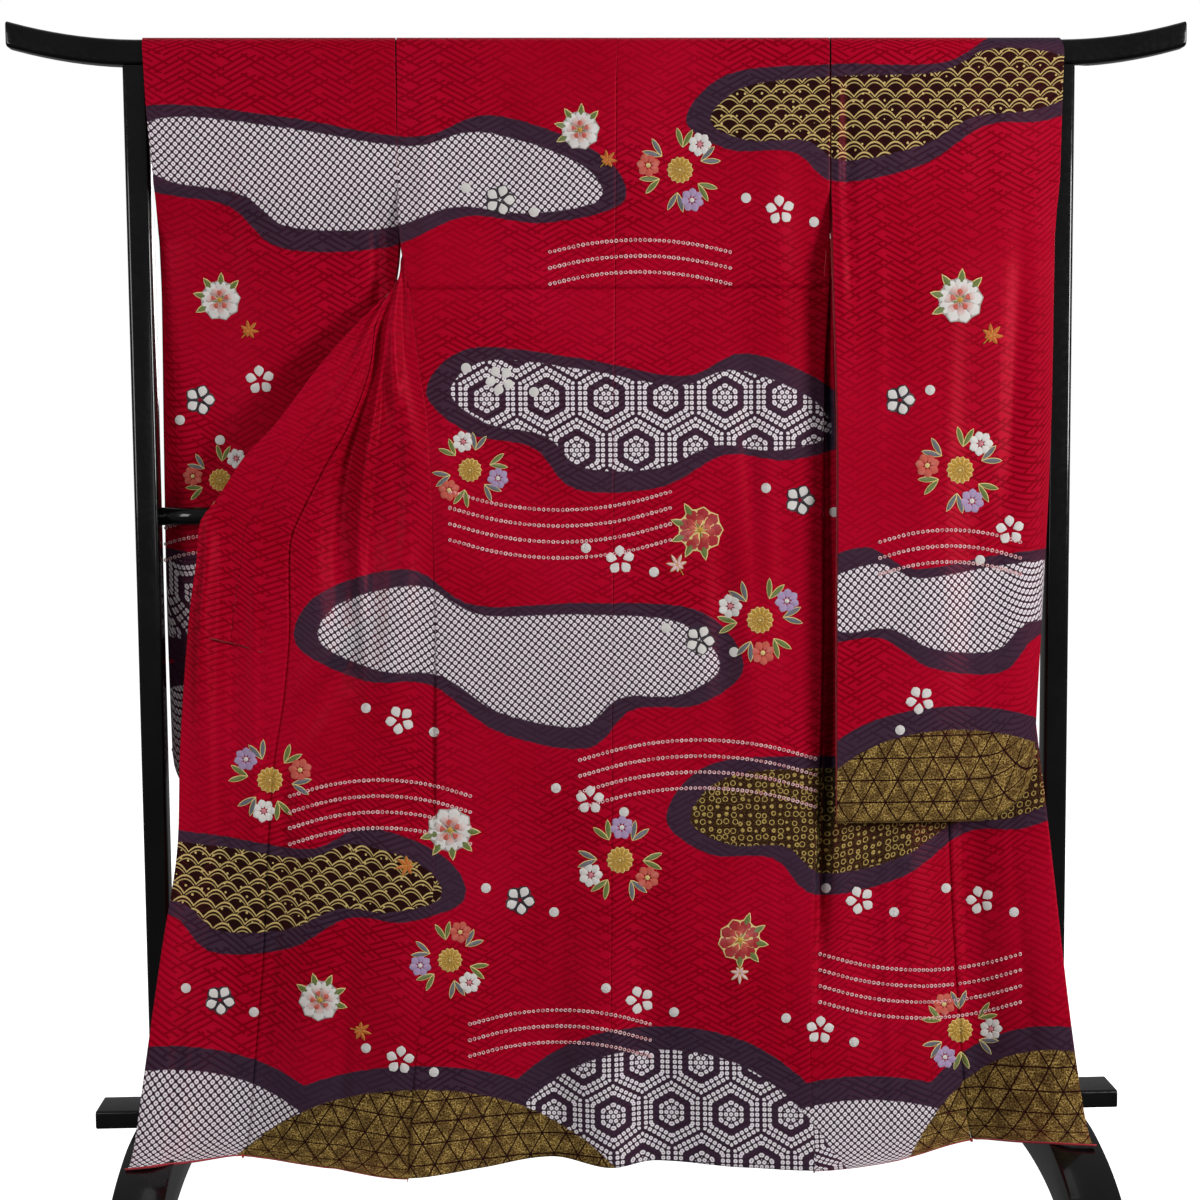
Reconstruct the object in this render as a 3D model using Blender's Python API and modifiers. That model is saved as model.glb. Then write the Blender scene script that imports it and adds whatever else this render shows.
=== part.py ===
"""A furisode kimono hung back to front over the bar of a lacquered kimono stand.

Metres, +Z up. The origin is on the floor, midway between the posts. The back of the kimono faces
-Y, its centre seam runs down the middle, and both fronts are swung open beside the back.
"""

import math
from collections import namedtuple

import bmesh
import bpy
from mathutils import Matrix, Vector

OBJECT_NAME = "furisode_on_stand"

# The stand.
POST_X = 0.665
POST_SIDE = 0.035
BAR_Z = 1.685
BAR_HEIGHT = 0.036
BAR_DEPTH = 0.032
BAR_HALF_LENGTH = 0.845
BAR_STRAIGHT = 0.66
BAR_TIP_RISE = 0.026
BAR_ROUND = 0.007
BAR_TIP_ROUND = 0.004
BAR_TIP_SCALE = 0.8
RAIL_Z = 1.026
RAIL_RADIUS = 0.013
BASE_TOP = 0.153
BASE_HEIGHT = 0.027
BASE_DEPTH = 0.070
BASE_HALF_LENGTH = 0.760
FOOT_WIDTH = 0.074
FOOT_HALF_LENGTH = 0.320
FOOT_PAD = 0.105
FOOT_ARCH = 0.055
EDGE_ROUND = 0.005

# The cloth.
WALL = 0.0016
SEAM_GAP = 0.0003
CENTRE_X_TOP = 0.020
CENTRE_LEAN = 0.015
SHOULDER_WRAP = 0.0205
WRAP_RISE = 0.0200
WRAP_Z = BAR_Z + 0.001
WRAP_POWER = 2.0 / 3.6
NECK_HALF = 0.085
TUCK_Z = 1.355
TUCK_DEPTH = 0.003
PLEATS = 2

SideRow = namedtuple("SideRow", "z left right")
SIDE_SEAMS = (
    SideRow(1.690, -0.294, 0.325),
    SideRow(1.435, -0.294, 0.325),
    SideRow(1.335, -0.279, 0.320),
    SideRow(1.235, -0.268, 0.317),
    SideRow(1.150, -0.257, 0.315),
    SideRow(0.750, -0.250, 0.311),
    SideRow(0.475, -0.259, 0.298),
    SideRow(0.270, -0.282, 0.288),
    SideRow(0.050, -0.300, 0.293),
)

HangRow = namedtuple("HangRow", "z y")
BACK_HANG = (
    HangRow(1.690, -0.0205),
    HangRow(1.400, -0.0300),
    HangRow(1.030, -0.0340),
    HangRow(0.600, -0.0450),
    HangRow(0.150, -0.0600),
    HangRow(0.050, -0.0660),
)

# The hem swings to and fro in depth, so its line rises and falls.
HemRow = namedtuple("HemRow", "x z y")
HEM = (
    HemRow(-0.705, 0.113, -0.168),
    HemRow(-0.640, 0.116, -0.158),
    HemRow(-0.604, 0.107, -0.122),
    HemRow(-0.541, 0.096, -0.074),
    HemRow(-0.408, 0.080, -0.090),
    HemRow(-0.300, 0.073, -0.118),
    HemRow(-0.196, 0.077, -0.095),
    HemRow(-0.088, 0.085, -0.076),
    HemRow(-0.005, 0.075, -0.100),
    HemRow(0.062, 0.078, -0.082),
    HemRow(0.186, 0.073, -0.104),
    HemRow(0.303, 0.071, -0.118),
    HemRow(0.406, 0.077, -0.104),
    HemRow(0.532, 0.096, -0.074),
    HemRow(0.590, 0.108, -0.118),
    HemRow(0.640, 0.118, -0.158),
    HemRow(0.705, 0.117, -0.168),
)
HEM_LEVEL = 0.080
HEM_SWING_TOP = 1.05
HEM_FROM = 0.72

# Soft folds down the back: a positive depth is a ridge towards -Y.
FoldRow = namedtuple("FoldRow", "x_top x_low z_top z_low width depth")
BACK_FOLDS = (
    FoldRow(-0.256, -0.262, 1.760, 1.150, 0.022, 0.004),
    FoldRow(-0.141, -0.150, 1.760, 1.420, 0.030, -0.004),
    FoldRow(0.100, 0.120, 1.760, 1.460, 0.040, -0.003),
    FoldRow(0.235, 0.262, 1.760, 0.900, 0.030, 0.005),
    FoldRow(0.165, 0.172, 1.100, 0.640, 0.018, -0.006),
    FoldRow(0.205, 0.215, 1.120, 0.500, 0.022, 0.005),
    FoldRow(-0.120, -0.180, 0.700, 0.020, 0.050, -0.006),
    FoldRow(0.090, 0.120, 0.620, 0.020, 0.045, 0.006),
    FoldRow(-0.040, -0.045, 0.480, 0.020, 0.040, 0.004),
)

# One row for each section of a front, from the shoulder to the hem: the side end, the front edge,
# how deep the gathers are, where the overlap's seam lies and how much of the row the collar takes.
FrontRow = namedtuple("FrontRow", "at side_y side_z edge_x edge_y edge_z gather overlap collar")
LEFT_FRONT = (
    FrontRow(0.00, 0.0205, 1.676, -0.038, 0.0205, 1.636, 0.000, 0.83, 0.17),
    FrontRow(0.06, 0.0220, 1.640, -0.060, 0.0260, 1.590, 0.002, 0.78, 0.22),
    FrontRow(0.13, 0.0280, 1.570, -0.110, 0.0360, 1.530, 0.006, 0.74, 0.26),
    FrontRow(0.20, 0.0300, 1.490, -0.170, 0.0440, 1.455, 0.0060, 0.69, 0.31),
    FrontRow(0.26, 0.0220, 1.440, -0.235, 0.0400, 1.400, 0.0045, 0.66, 0.34),
    FrontRow(0.31, -0.0040, 1.410, -0.288, 0.0120, 1.366, 0.0030, 0.64, 0.36),
    FrontRow(0.35, -0.0295, 1.385, -0.3055, -0.0220, 1.345, 0.0012, 0.62, 0.38),
    FrontRow(0.40, -0.0310, 1.320, -0.360, -0.0340, 1.296, 0.0040, 0.60, 0.40),
    FrontRow(0.45, -0.0320, 1.235, -0.409, -0.0400, 1.242, 0.004, 0.50, 0.37),
    FrontRow(0.50, -0.0330, 1.150, -0.475, -0.0430, 1.157, 0.003, 0.525, 0.27),
    FrontRow(0.54, -0.0335, 1.080, -0.519, -0.0430, 1.112, 0.002, 0.566, 0.23),
    FrontRow(0.58, -0.0340, 1.000, -0.560, -0.0400, 1.052, 0.001, 0.61, 0.21),
    FrontRow(0.61, -0.0350, 0.945, -0.585, -0.0390, 1.018, 0.000, 0.615, 0.19),
    FrontRow(0.64, -0.0365, 0.880, -0.591, -0.0400, 0.965, 0.000, 0.615, 0.18),
    FrontRow(0.68, -0.0390, 0.800, -0.601, -0.0420, 0.900, 0.000, 0.60, 0.17),
    FrontRow(0.73, -0.0420, 0.695, -0.612, -0.0440, 0.800, 0.000, 0.61, 0.17),
    FrontRow(0.78, -0.0450, 0.600, -0.620, -0.0460, 0.690, 0.000, 0.64, 0.17),
    FrontRow(0.84, -0.0490, 0.450, -0.625, -0.0490, 0.545, 0.000, 0.655, 0.17),
    FrontRow(0.89, -0.0530, 0.330, -0.647, -0.0520, 0.410, 0.000, 0.625, 0.17),
    FrontRow(0.95, -0.0570, 0.180, -0.674, -0.0560, 0.235, 0.000, 0.614, 0.17),
    FrontRow(1.00, -0.0660, 0.068, -0.694, -0.0600, 0.075, 0.000, 0.612, 0.17),
)
RIGHT_FRONT = (
    FrontRow(0.00, 0.0205, 1.676, 0.078, 0.0205, 1.636, 0.000, 0.83, 0.17),
    FrontRow(0.06, 0.0170, 1.640, 0.100, 0.0240, 1.590, 0.002, 0.78, 0.22),
    FrontRow(0.13, 0.0120, 1.570, 0.150, 0.0320, 1.530, 0.006, 0.74, 0.26),
    FrontRow(0.20, 0.0040, 1.490, 0.210, 0.0340, 1.455, 0.0060, 0.69, 0.31),
    FrontRow(0.26, -0.0080, 1.440, 0.270, 0.0220, 1.400, 0.0045, 0.66, 0.34),
    FrontRow(0.31, -0.0200, 1.410, 0.318, 0.0010, 1.366, 0.0028, 0.64, 0.36),
    FrontRow(0.35, -0.0295, 1.385, 0.345, -0.0160, 1.340, 0.0018, 0.62, 0.38),
    FrontRow(0.40, -0.0310, 1.320, 0.390, -0.0230, 1.290, 0.0030, 0.60, 0.40),
    FrontRow(0.45, -0.0320, 1.235, 0.440, -0.0250, 1.235, 0.003, 0.50, 0.37),
    FrontRow(0.50, -0.0330, 1.150, 0.500, -0.0260, 1.160, 0.002, 0.525, 0.27),
    FrontRow(0.58, -0.0340, 1.000, 0.575, -0.0270, 1.050, 0.001, 0.60, 0.21),
    FrontRow(0.64, -0.0360, 0.880, 0.600, -0.0290, 0.965, 0.000, 0.61, 0.18),
    FrontRow(0.73, -0.0410, 0.695, 0.622, -0.0340, 0.780, 0.000, 0.60, 0.17),
    FrontRow(0.84, -0.0490, 0.450, 0.645, -0.0430, 0.535, 0.000, 0.590, 0.17),
    FrontRow(0.92, -0.0550, 0.255, 0.666, -0.0520, 0.300, 0.000, 0.600, 0.17),
    FrontRow(1.00, -0.0660, 0.068, 0.692, -0.0600, 0.080, 0.000, 0.605, 0.17),
)
COLLAR_END = 0.70
GATHER_COLLAR = 0.36
SEAM_CALM = 0.9
SEAM_REACH = 0.045

# Folds of the fronts, by the share of the row from the side seam to the front edge.
FrontFold = namedtuple("FrontFold", "u_top u_low at_top at_low width depth")
LEFT_FRONT_FOLDS = (
    FrontFold(0.30, 0.10, 0.385, 0.56, 0.09, 0.014),
    FrontFold(0.10, 0.24, 0.54, 0.76, 0.07, 0.013),
    FrontFold(0.55, 0.22, 0.40, 0.52, 0.08, -0.009),
    FrontFold(0.26, 0.38, 0.50, 0.74, 0.08, -0.010),
    FrontFold(0.60, 0.61, 0.46, 0.97, 0.035, -0.006),
    FrontFold(0.94, 0.86, 0.57, 0.86, 0.055, 0.009),
    FrontFold(0.87, 0.74, 0.57, 0.83, 0.050, -0.010),
    FrontFold(0.76, 0.66, 0.60, 0.95, 0.045, 0.006),
    FrontFold(0.45, 0.40, 0.76, 1.04, 0.090, 0.008),
)
RIGHT_FRONT_FOLDS = (
    FrontFold(0.30, 0.24, 0.44, 0.80, 0.08, 0.006),
    FrontFold(0.70, 0.68, 0.60, 0.98, 0.05, -0.006),
    FrontFold(0.40, 0.44, 0.72, 1.04, 0.09, 0.008),
)

# The neck's part of the collar, from the middle of the back outwards: how far out its seam and its
# free edge lie, and how far along the wrap over the bar.
NeckRow = namedtuple("NeckRow", "seam_out seam_along free_out free_along")
NECK = (
    NeckRow(0.000, 0.0150, 0.000, 0.106),
    NeckRow(0.035, 0.0165, 0.020, 0.106),
    NeckRow(0.062, 0.0210, 0.034, 0.107),
    NeckRow(0.076, 0.0290, 0.044, 0.108),
    NeckRow(0.084, 0.0430, 0.050, 0.109),
    NeckRow(0.087, 0.0500, 0.052, 0.110),
    NeckRow(0.089, 0.0570, 0.053, 0.1105),
    NeckRow(0.092, 0.0690, 0.056, 0.111),
)
# Where the collar's columns lie along the wrap, closest at the bar's corners.
NECK_ALONG = (0.0150, 0.0215, 0.0440, 0.0515, 0.0600, 0.0800)
NECK_CLOSEST = 0.0016

# A sleeve is one length of cloth folded over the bar: z, then the depth of the layer towards -Y
# and of the layer behind it, then the inner and the outer edge, outwards from the posts' middle.
SleeveRow = namedtuple("SleeveRow", "z near_y far_y inner outer_near outer_far")
LEFT_SLEEVE = (
    SleeveRow(1.690, -0.0205, 0.0205, 0.2960, 0.652, 0.652),
    SleeveRow(1.600, -0.0228, 0.0255, 0.2960, 0.648, 0.644),
    SleeveRow(1.500, -0.0264, 0.0300, 0.2960, 0.640, 0.640),
    SleeveRow(1.440, -0.0150, 0.0310, 0.3075, 0.640, 0.640),
    SleeveRow(1.340, 0.0000, 0.0330, 0.3080, 0.640, 0.640),
    SleeveRow(1.120, 0.0190, 0.0400, 0.3100, 0.645, 0.645),
    SleeveRow(0.900, 0.0210, 0.0420, 0.3120, 0.647, 0.647),
    SleeveRow(0.700, 0.0230, 0.0400, 0.3140, 0.645, 0.645),
    SleeveRow(0.585, 0.0250, 0.0360, 0.3150, 0.642, 0.642),
)
RIGHT_SLEEVE = (
    SleeveRow(1.690, -0.0205, 0.0205, 0.3272, 0.664, 0.646),
    SleeveRow(1.600, -0.0228, 0.0142, 0.3272, 0.661, 0.645),
    SleeveRow(1.500, -0.0264, 0.0050, 0.3272, 0.658, 0.645),
    SleeveRow(1.440, -0.0440, -0.0200, 0.3320, 0.650, 0.646),
    SleeveRow(1.370, -0.0620, -0.0450, 0.3330, 0.644, 0.643),
    SleeveRow(1.120, -0.0680, -0.0500, 0.3310, 0.640, 0.640),
    SleeveRow(0.870, -0.0760, -0.0580, 0.3290, 0.628, 0.628),
    SleeveRow(0.700, -0.0840, -0.0680, 0.3280, 0.618, 0.618),
    SleeveRow(0.575, -0.0900, -0.0780, 0.3270, 0.612, 0.612),
)
SleeveFold = namedtuple("SleeveFold", "out_top out_low z_top z_low width depth")
LEFT_SLEEVE_FOLDS = (
    SleeveFold(0.326, 0.324, 1.530, 1.220, 0.007, -0.007),
    SleeveFold(0.470, 0.455, 1.600, 1.150, 0.040, 0.005),
    SleeveFold(0.560, 0.575, 1.500, 0.900, 0.035, -0.005),
)
RIGHT_SLEEVE_FOLDS = (
    SleeveFold(0.352, 0.350, 1.740, 1.300, 0.007, -0.006),
    SleeveFold(0.338, 0.338, 1.660, 1.250, 0.005, 0.004),
    SleeveFold(0.600, 0.575, 1.520, 0.900, 0.014, -0.006),
    SleeveFold(0.450, 0.470, 1.500, 0.700, 0.050, 0.006),
    SleeveFold(0.540, 0.520, 1.150, 0.620, 0.030, -0.006),
)
SLEEVE_CORNER = 0.085
CUFF_LOW_Z = 1.460
SEWN_GAP = 0.0052

Finish = namedtuple("Finish", "name colour roughness metallic")
CRIMSON_SILK = Finish("crimson_silk", (0.38, 0.004, 0.018, 1.0), 0.55, 0.0)
BLACK_LACQUER = Finish("black_lacquer", (0.004, 0.004, 0.005, 1.0), 0.12, 0.0)


def smooth(table, column, at, key=0):
    """The value of a named column on the smooth curve through a table's rows."""
    keys = [row[key] for row in table]
    values = [getattr(row, column) for row in table]
    if keys[0] > keys[-1]:
        keys.reverse()
        values.reverse()
    at = min(max(at, keys[0]), keys[-1])
    last = len(keys) - 1
    i = min(max(sum(k <= at for k in keys) - 1, 0), last - 1)
    span = keys[i + 1] - keys[i]
    t = (at - keys[i]) / span

    def slope(j):
        low, high = max(j - 1, 0), min(j + 1, last)
        return (values[high] - values[low]) / (keys[high] - keys[low])

    rise = t * t * (3 - 2 * t)
    lead = t * (1 - t) * ((1 - t) * slope(i) - t * slope(i + 1)) * span
    return values[i] + (values[i + 1] - values[i]) * rise + lead


def bell(distance, width):
    return math.exp(-((distance / width) ** 2))


def window(at, start, end):
    """Rises from 0 at start to 1 midway and falls to 0 at end."""
    if at <= min(start, end) or at >= max(start, end):
        return 0.0
    return math.sin(math.pi * (at - start) / (end - start)) ** 1.5


def centre_x(z):
    return CENTRE_X_TOP - CENTRE_LEAN * (1.70 - z)


def over_bar(along):
    """A point of the wrap over the bar, by the length from its front: (y, z)."""
    steps = 48
    y, z = -SHOULDER_WRAP, WRAP_Z
    if along <= 0:
        return y, z + along
    walked = 0.0
    for i in range(1, steps + 1):
        angle = math.pi * i / steps
        c, s = math.cos(angle), math.sin(angle)
        ny = -SHOULDER_WRAP * math.copysign(abs(c) ** WRAP_POWER, c)
        nz = WRAP_Z + WRAP_RISE * abs(s) ** WRAP_POWER
        step = math.hypot(ny - y, nz - z)
        if walked + step >= along:
            t = (along - walked) / step
            return y + (ny - y) * t, z + (nz - z) * t
        walked += step
        y, z = ny, nz
    return SHOULDER_WRAP, WRAP_Z - (along - walked)


def wrap_length():
    """How far the cloth goes from the front to the rear over the bar."""
    low, high = 0.0, 0.2
    for _ in range(40):
        middle = (low + high) / 2
        if over_bar(middle)[1] < WRAP_Z - 1e-7:
            high = middle
        else:
            low = middle
    return low


WRAP = wrap_length()


def folds_at(folds, x, z):
    """How far the folds stand out towards -Y at a point of a hanging sheet."""
    out = 0.0
    for fold in folds:
        top, low = fold[2], fold[3]
        share = (top - z) / (top - low)
        middle = fold[0] + (fold[1] - fold[0]) * min(max(share, 0.0), 1.0)
        out += fold.depth * bell(x - middle, fold.width) * window(z, top, low)
    return out


def hem_swing(x, z):
    """The hem's swing in depth, which dies out upwards."""
    fade = min(max((HEM_SWING_TOP - z) / (HEM_SWING_TOP - HEM_LEVEL), 0.0), 1.0) ** 2.0
    return (smooth(HEM, "y", x) - BACK_HANG[-1].y) * fade


def back_point(x, z):
    """A point of the back's outer face."""
    y = smooth(BACK_HANG, "y", z) - folds_at(BACK_FOLDS, x, z) + hem_swing(x, z)
    y -= TUCK_DEPTH * bell(z - TUCK_Z, 0.007)
    return x, y, z


def calm_at_seams(table, u, at):
    """Folds flatten where a front's seams cross them."""
    calm = 1.0 - SEAM_CALM * bell(u - smooth(table, "overlap", at), SEAM_REACH)
    if at < COLLAR_END:
        calm *= 1.0 - SEAM_CALM * bell(u - 1.0 + smooth(table, "collar", at), SEAM_REACH)
    return calm


def front_base(table, side, u, at):
    """A point of a front before its folds. u runs from the side seam to the front edge."""
    side_z = smooth(table, "side_z", at)
    side_x = smooth(SIDE_SEAMS, side, side_z)
    side_y = smooth(table, "side_y", at)
    x = side_x + (smooth(table, "edge_x", at) - side_x) * u
    y = side_y + (smooth(table, "edge_y", at) - side_y) * u
    z = side_z + (smooth(table, "edge_z", at) - side_z) * u
    return Vector((x, y, z))


def front_out(table, side, u, at):
    """The direction that a front's outer side faces before its folds."""
    across = front_base(table, side, u + LOOK_SHARE, at) - front_base(table, side, u - LOOK_SHARE, at)
    start, end = max(at - LOOK_SHARE, 0.0), min(at + LOOK_SHARE, 1.0)
    down = front_base(table, side, u, end) - front_base(table, side, u, start)
    out = across.cross(down).normalized()
    return out if side == "left" else -out


def front_relief(table, folds, u, at):
    """How far a front's gathers and folds stand out."""
    wave = math.cos(2 * math.pi * PLEATS * u / (1.0 - GATHER_COLLAR))
    out = smooth(table, "gather", at) * wave * min(1.0, 6 * u)
    for fold in folds:
        share = min(max((at - fold.at_top) / (fold.at_low - fold.at_top), 0.0), 1.0)
        middle = fold.u_top + (fold.u_low - fold.u_top) * share
        reach = window(at, fold.at_top, fold.at_low)
        out += fold.depth * bell(u - middle, fold.width) * reach * min(1.0, 12 * u)
    return out * calm_at_seams(table, u, at)


def front_point(table, folds, side, u, at):
    """A point of a front's outer face."""
    point = front_base(table, side, u, at)
    x, y, z = point + front_out(table, side, u, at) * front_relief(table, folds, u, at)
    low = max(0.0, (at - HEM_FROM) / (1.0 - HEM_FROM))
    y += hem_swing(x, z) * min(1.0, 3 * low)
    z += (smooth(HEM, "z", x) - z) * low**8
    return x, y, z


def material(finish):
    made = bpy.data.materials.new(finish.name)
    made.use_nodes = True
    shader = made.node_tree.nodes["Principled BSDF"]
    shader.inputs["Base Color"].default_value = finish.colour
    shader.inputs["Roughness"].default_value = finish.roughness
    shader.inputs["Metallic"].default_value = finish.metallic
    return made


def facing(surface, a, b, step_a, step_b, sign, level=False):
    """A surface's outward direction. At a straight seam it is kept square to the seam's gap."""
    across = Vector(surface(a + step_a, b)) - Vector(surface(a - step_a, b))
    down = Vector(surface(a, b + step_b)) - Vector(surface(a, b - step_b))
    out = across.cross(down) * sign
    if level:
        out.x = 0.0
    return out.normalized()


def cloth(name, grid, closed=False, flip=False):
    """A grid of points with outward directions, as a wall. A closed one joins its last row to its first."""
    mesh = bmesh.new()
    outer = [[mesh.verts.new(point) for point, _ in row] for row in grid]
    inner = [[mesh.verts.new(Vector(point) - out * WALL) for point, out in row] for row in grid]

    def face(corners, reverse):
        mesh.faces.new(corners[:1] + corners[:0:-1] if reverse else corners)

    rows, columns = len(grid), len(grid[0])
    for i in range(rows if closed else rows - 1):
        k = (i + 1) % rows
        for j in range(columns - 1):
            face([outer[i][j], outer[i][j + 1], outer[k][j + 1], outer[k][j]], flip)
            face([inner[i][j], inner[i][j + 1], inner[k][j + 1], inner[k][j]], not flip)
        face([outer[i][0], outer[k][0], inner[k][0], inner[i][0]], flip)
        face([outer[i][-1], outer[k][-1], inner[k][-1], inner[i][-1]], not flip)
    if not closed:
        for j in range(columns - 1):
            face([outer[0][j], inner[0][j], inner[0][j + 1], outer[0][j + 1]], flip)
            face([outer[-1][j], inner[-1][j], inner[-1][j + 1], outer[-1][j + 1]], not flip)
    data = bpy.data.meshes.new(name)
    mesh.to_mesh(data)
    mesh.free()
    piece = bpy.data.objects.new(name, data)
    COLLECTION.objects.link(piece)
    data.materials.append(SILK)
    data.shade_smooth()
    return piece


def spread(count, start=0.0, end=1.0):
    return [start + (end - start) * i / (count - 1) for i in range(count)]


BACK_LEVELS = (
    [HEM_LEVEL + step for step in (0.0, 0.03, 0.08)]
    + spread(11, 0.22, 1.27)
    + [1.340, TUCK_Z - 0.007, TUCK_Z, TUCK_Z + 0.007, 1.375, 1.44, 1.52, 1.60, 1.65, WRAP_Z]
)
HEM_BLEND = 0.25
BODY_COLUMNS = 15
OVERLAP_COLUMNS = 5
COLLAR_COLUMNS = len(NECK_ALONG) + 1
FIRST_WRAP_ROW = 0.0070
SLIT_SPARE = 0.0030
SLIT_MIDDLE = 0.355
SLIT_REACH = 0.030
SLIT_START = 0.22
SLIT_END = 0.37
LOOK = 0.0008
LOOK_SHARE = 0.004
COLLAR_END_GAP = 0.0006
SLEEVE_SHARES = (0.0, 0.04, 0.085, 0.13, 0.22, 0.34, 0.46, 0.58, 0.70, 0.80, 0.90, 1.0)
BAR_SHARES = (0.0, 0.10, 0.18, 0.24, 0.38, 0.62, 0.76, 0.82, 0.90, 1.0)
OVERLAP_START = 0.41
END_STEP = 0.004
ROW_SHORTEST = 0.045


def level_z(level, x):
    """A back level bends down to the hem's line near the hem."""
    fade = max(0.0, 1.0 - (level - HEM_LEVEL) / HEM_BLEND)
    return level + (smooth(HEM, "z", x) - HEM_LEVEL) * fade


def quiet_near_bar(point):
    """Folds and swings die out where the cloth meets the bar."""
    x, y, z = point
    free = min(max((WRAP_Z - 0.020 - z) / 0.040, 0.0), 1.0)
    return x, y * free + smooth(BACK_HANG, "y", z) * (1.0 - free), z


def seam_share(table, side, at):
    """Half a seam's gap, as a share of the row from the side seam to the front edge."""
    side_z = smooth(table, "side_z", at)
    wide = smooth(table, "edge_x", at) - smooth(SIDE_SEAMS, side, side_z)
    deep = smooth(table, "edge_y", at) - smooth(table, "side_y", at)
    high = smooth(table, "edge_z", at) - side_z
    gap = SEAM_GAP + SLIT_SPARE * bell(at - SLIT_MIDDLE, SLIT_REACH)
    return gap / 2 / max(ROW_SHORTEST, math.sqrt(wide**2 + deep**2 + high**2))


def back_surface(x, z):
    return quiet_near_bar(back_point(x, z))


def back_row(side, level, sign):
    """One row of the back, from the side seam to the centre seam."""
    row = []
    for u in spread(BODY_COLUMNS):
        z = level
        for _ in range(3):
            edge = smooth(SIDE_SEAMS, side, z) - sign * SEAM_GAP / 2
            inner = centre_x(z) + sign * SEAM_GAP / 2
            x = edge + (inner - edge) * u
            z = level_z(level, x)
        out = facing(back_surface, x, z, LOOK, LOOK, 1.0, level=u in (0.0, 1.0))
        row.append((back_surface(x, z), out if out.y < 0 else -out))
    return row


def bar_point(x, along):
    return x, *over_bar(along)


def bar_row(side, out, along, sign):
    """One row over the bar, from the armhole to the neckline."""
    edge = smooth(SIDE_SEAMS, side, WRAP_Z) - sign * SEAM_GAP / 2
    inner = centre_x(WRAP_Z) + sign * (out + SEAM_GAP / 2)
    up = facing(bar_point, edge, along, LOOK, LOOK, 1.0)
    return [(bar_point(edge + (inner - edge) * u, along), up) for u in spread(BODY_COLUMNS)]


def front_row(table, folds, side, sign, at, u_start, u_end, columns):
    def surface(u, row_at):
        return front_point(table, folds, side, u, row_at)

    gap = seam_share(table, side, at)
    row = []
    for i, u in enumerate(spread(columns, u_start + gap, u_end - gap)):
        level = i == 0 and u_start == 0.0 and not SLIT_START < at < SLIT_END
        out = facing(surface, u, at, LOOK_SHARE, LOOK_SHARE / 2, -sign, level)
        row.append((surface(u, at), out))
    return row


FRONT_AT = (
    spread(8, 0.0, 0.28)
    + spread(8, 0.305, 0.44)
    + spread(9, 0.468, COLLAR_END)
    + [COLLAR_END + END_STEP]
    + spread(9, 0.735, 1.0)
)


def make_body(name, table, folds, side, sign):
    """Back and front in one length over the shoulder, from the back's hem to the front's."""
    grid = [back_row(side, level, sign) for level in BACK_LEVELS]
    grid.append(bar_row(side, 0.0, FIRST_WRAP_ROW, sign))
    for neck in NECK:
        grid.append(bar_row(side, neck.seam_out, neck.seam_along - SEAM_GAP, sign))
    for at in FRONT_AT:
        end = smooth(table, "overlap", at)
        grid.append(front_row(table, folds, side, sign, at, 0.0, end, BODY_COLUMNS))
    return cloth(name, grid, flip=sign > 0)


def make_overlap(name, table, folds, side, sign):
    """The overlap's long panel, from under the collar to the hem."""
    grid = []
    for at in FRONT_AT:
        if at > OVERLAP_START:
            start = smooth(table, "overlap", at)
            end = 1.0 - smooth(table, "collar", at) if at <= COLLAR_END else 1.0
            grid.append(front_row(table, folds, side, sign, at, start, end, OVERLAP_COLUMNS))
    return cloth(name, grid, flip=sign > 0)


def collar_side(table, folds, side, sign):
    rows = []
    for at in FRONT_AT:
        if at <= COLLAR_END:
            at = min(at, COLLAR_END - COLLAR_END_GAP)
            start = 1.0 - smooth(table, "collar", at)
            rows.append(front_row(table, folds, side, sign, at, start, 1.0, COLLAR_COLUMNS))
    return rows


def neck_row(neck, sign):
    first = neck.seam_along + SEAM_GAP
    row = []
    for i, nearest in enumerate((*NECK_ALONG, neck.free_along)):
        along = max(nearest, first + i * NECK_CLOSEST)
        share = (along - first) / (neck.free_along - first)
        out = neck.seam_out + (neck.free_out - neck.seam_out) * share
        x = centre_x(WRAP_Z) + sign * out
        row.append((bar_point(x, along), facing(bar_point, x, along, LOOK, LOOK, 1.0)))
    return row


def make_collar(name):
    """One long band round the neck, from one front edge to the other."""
    left = collar_side(LEFT_FRONT, LEFT_FRONT_FOLDS, "left", -1)
    right = collar_side(RIGHT_FRONT, RIGHT_FRONT_FOLDS, "right", 1)
    neck = [neck_row(row, -1) for row in reversed(NECK)] + [neck_row(row, 1) for row in NECK[1:]]
    return cloth(name, list(reversed(left)) + neck + right, flip=True)


def sleeve_bottom(table, u):
    """The lowest point of a sleeve at a share of its width: its outer corner is round."""
    width = table[-1].outer_near - table[-1].inner
    into = max(0.0, SLEEVE_CORNER - (1.0 - u) * width)
    return table[-1].z + SLEEVE_CORNER - math.sqrt(SLEEVE_CORNER**2 - into**2)


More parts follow.
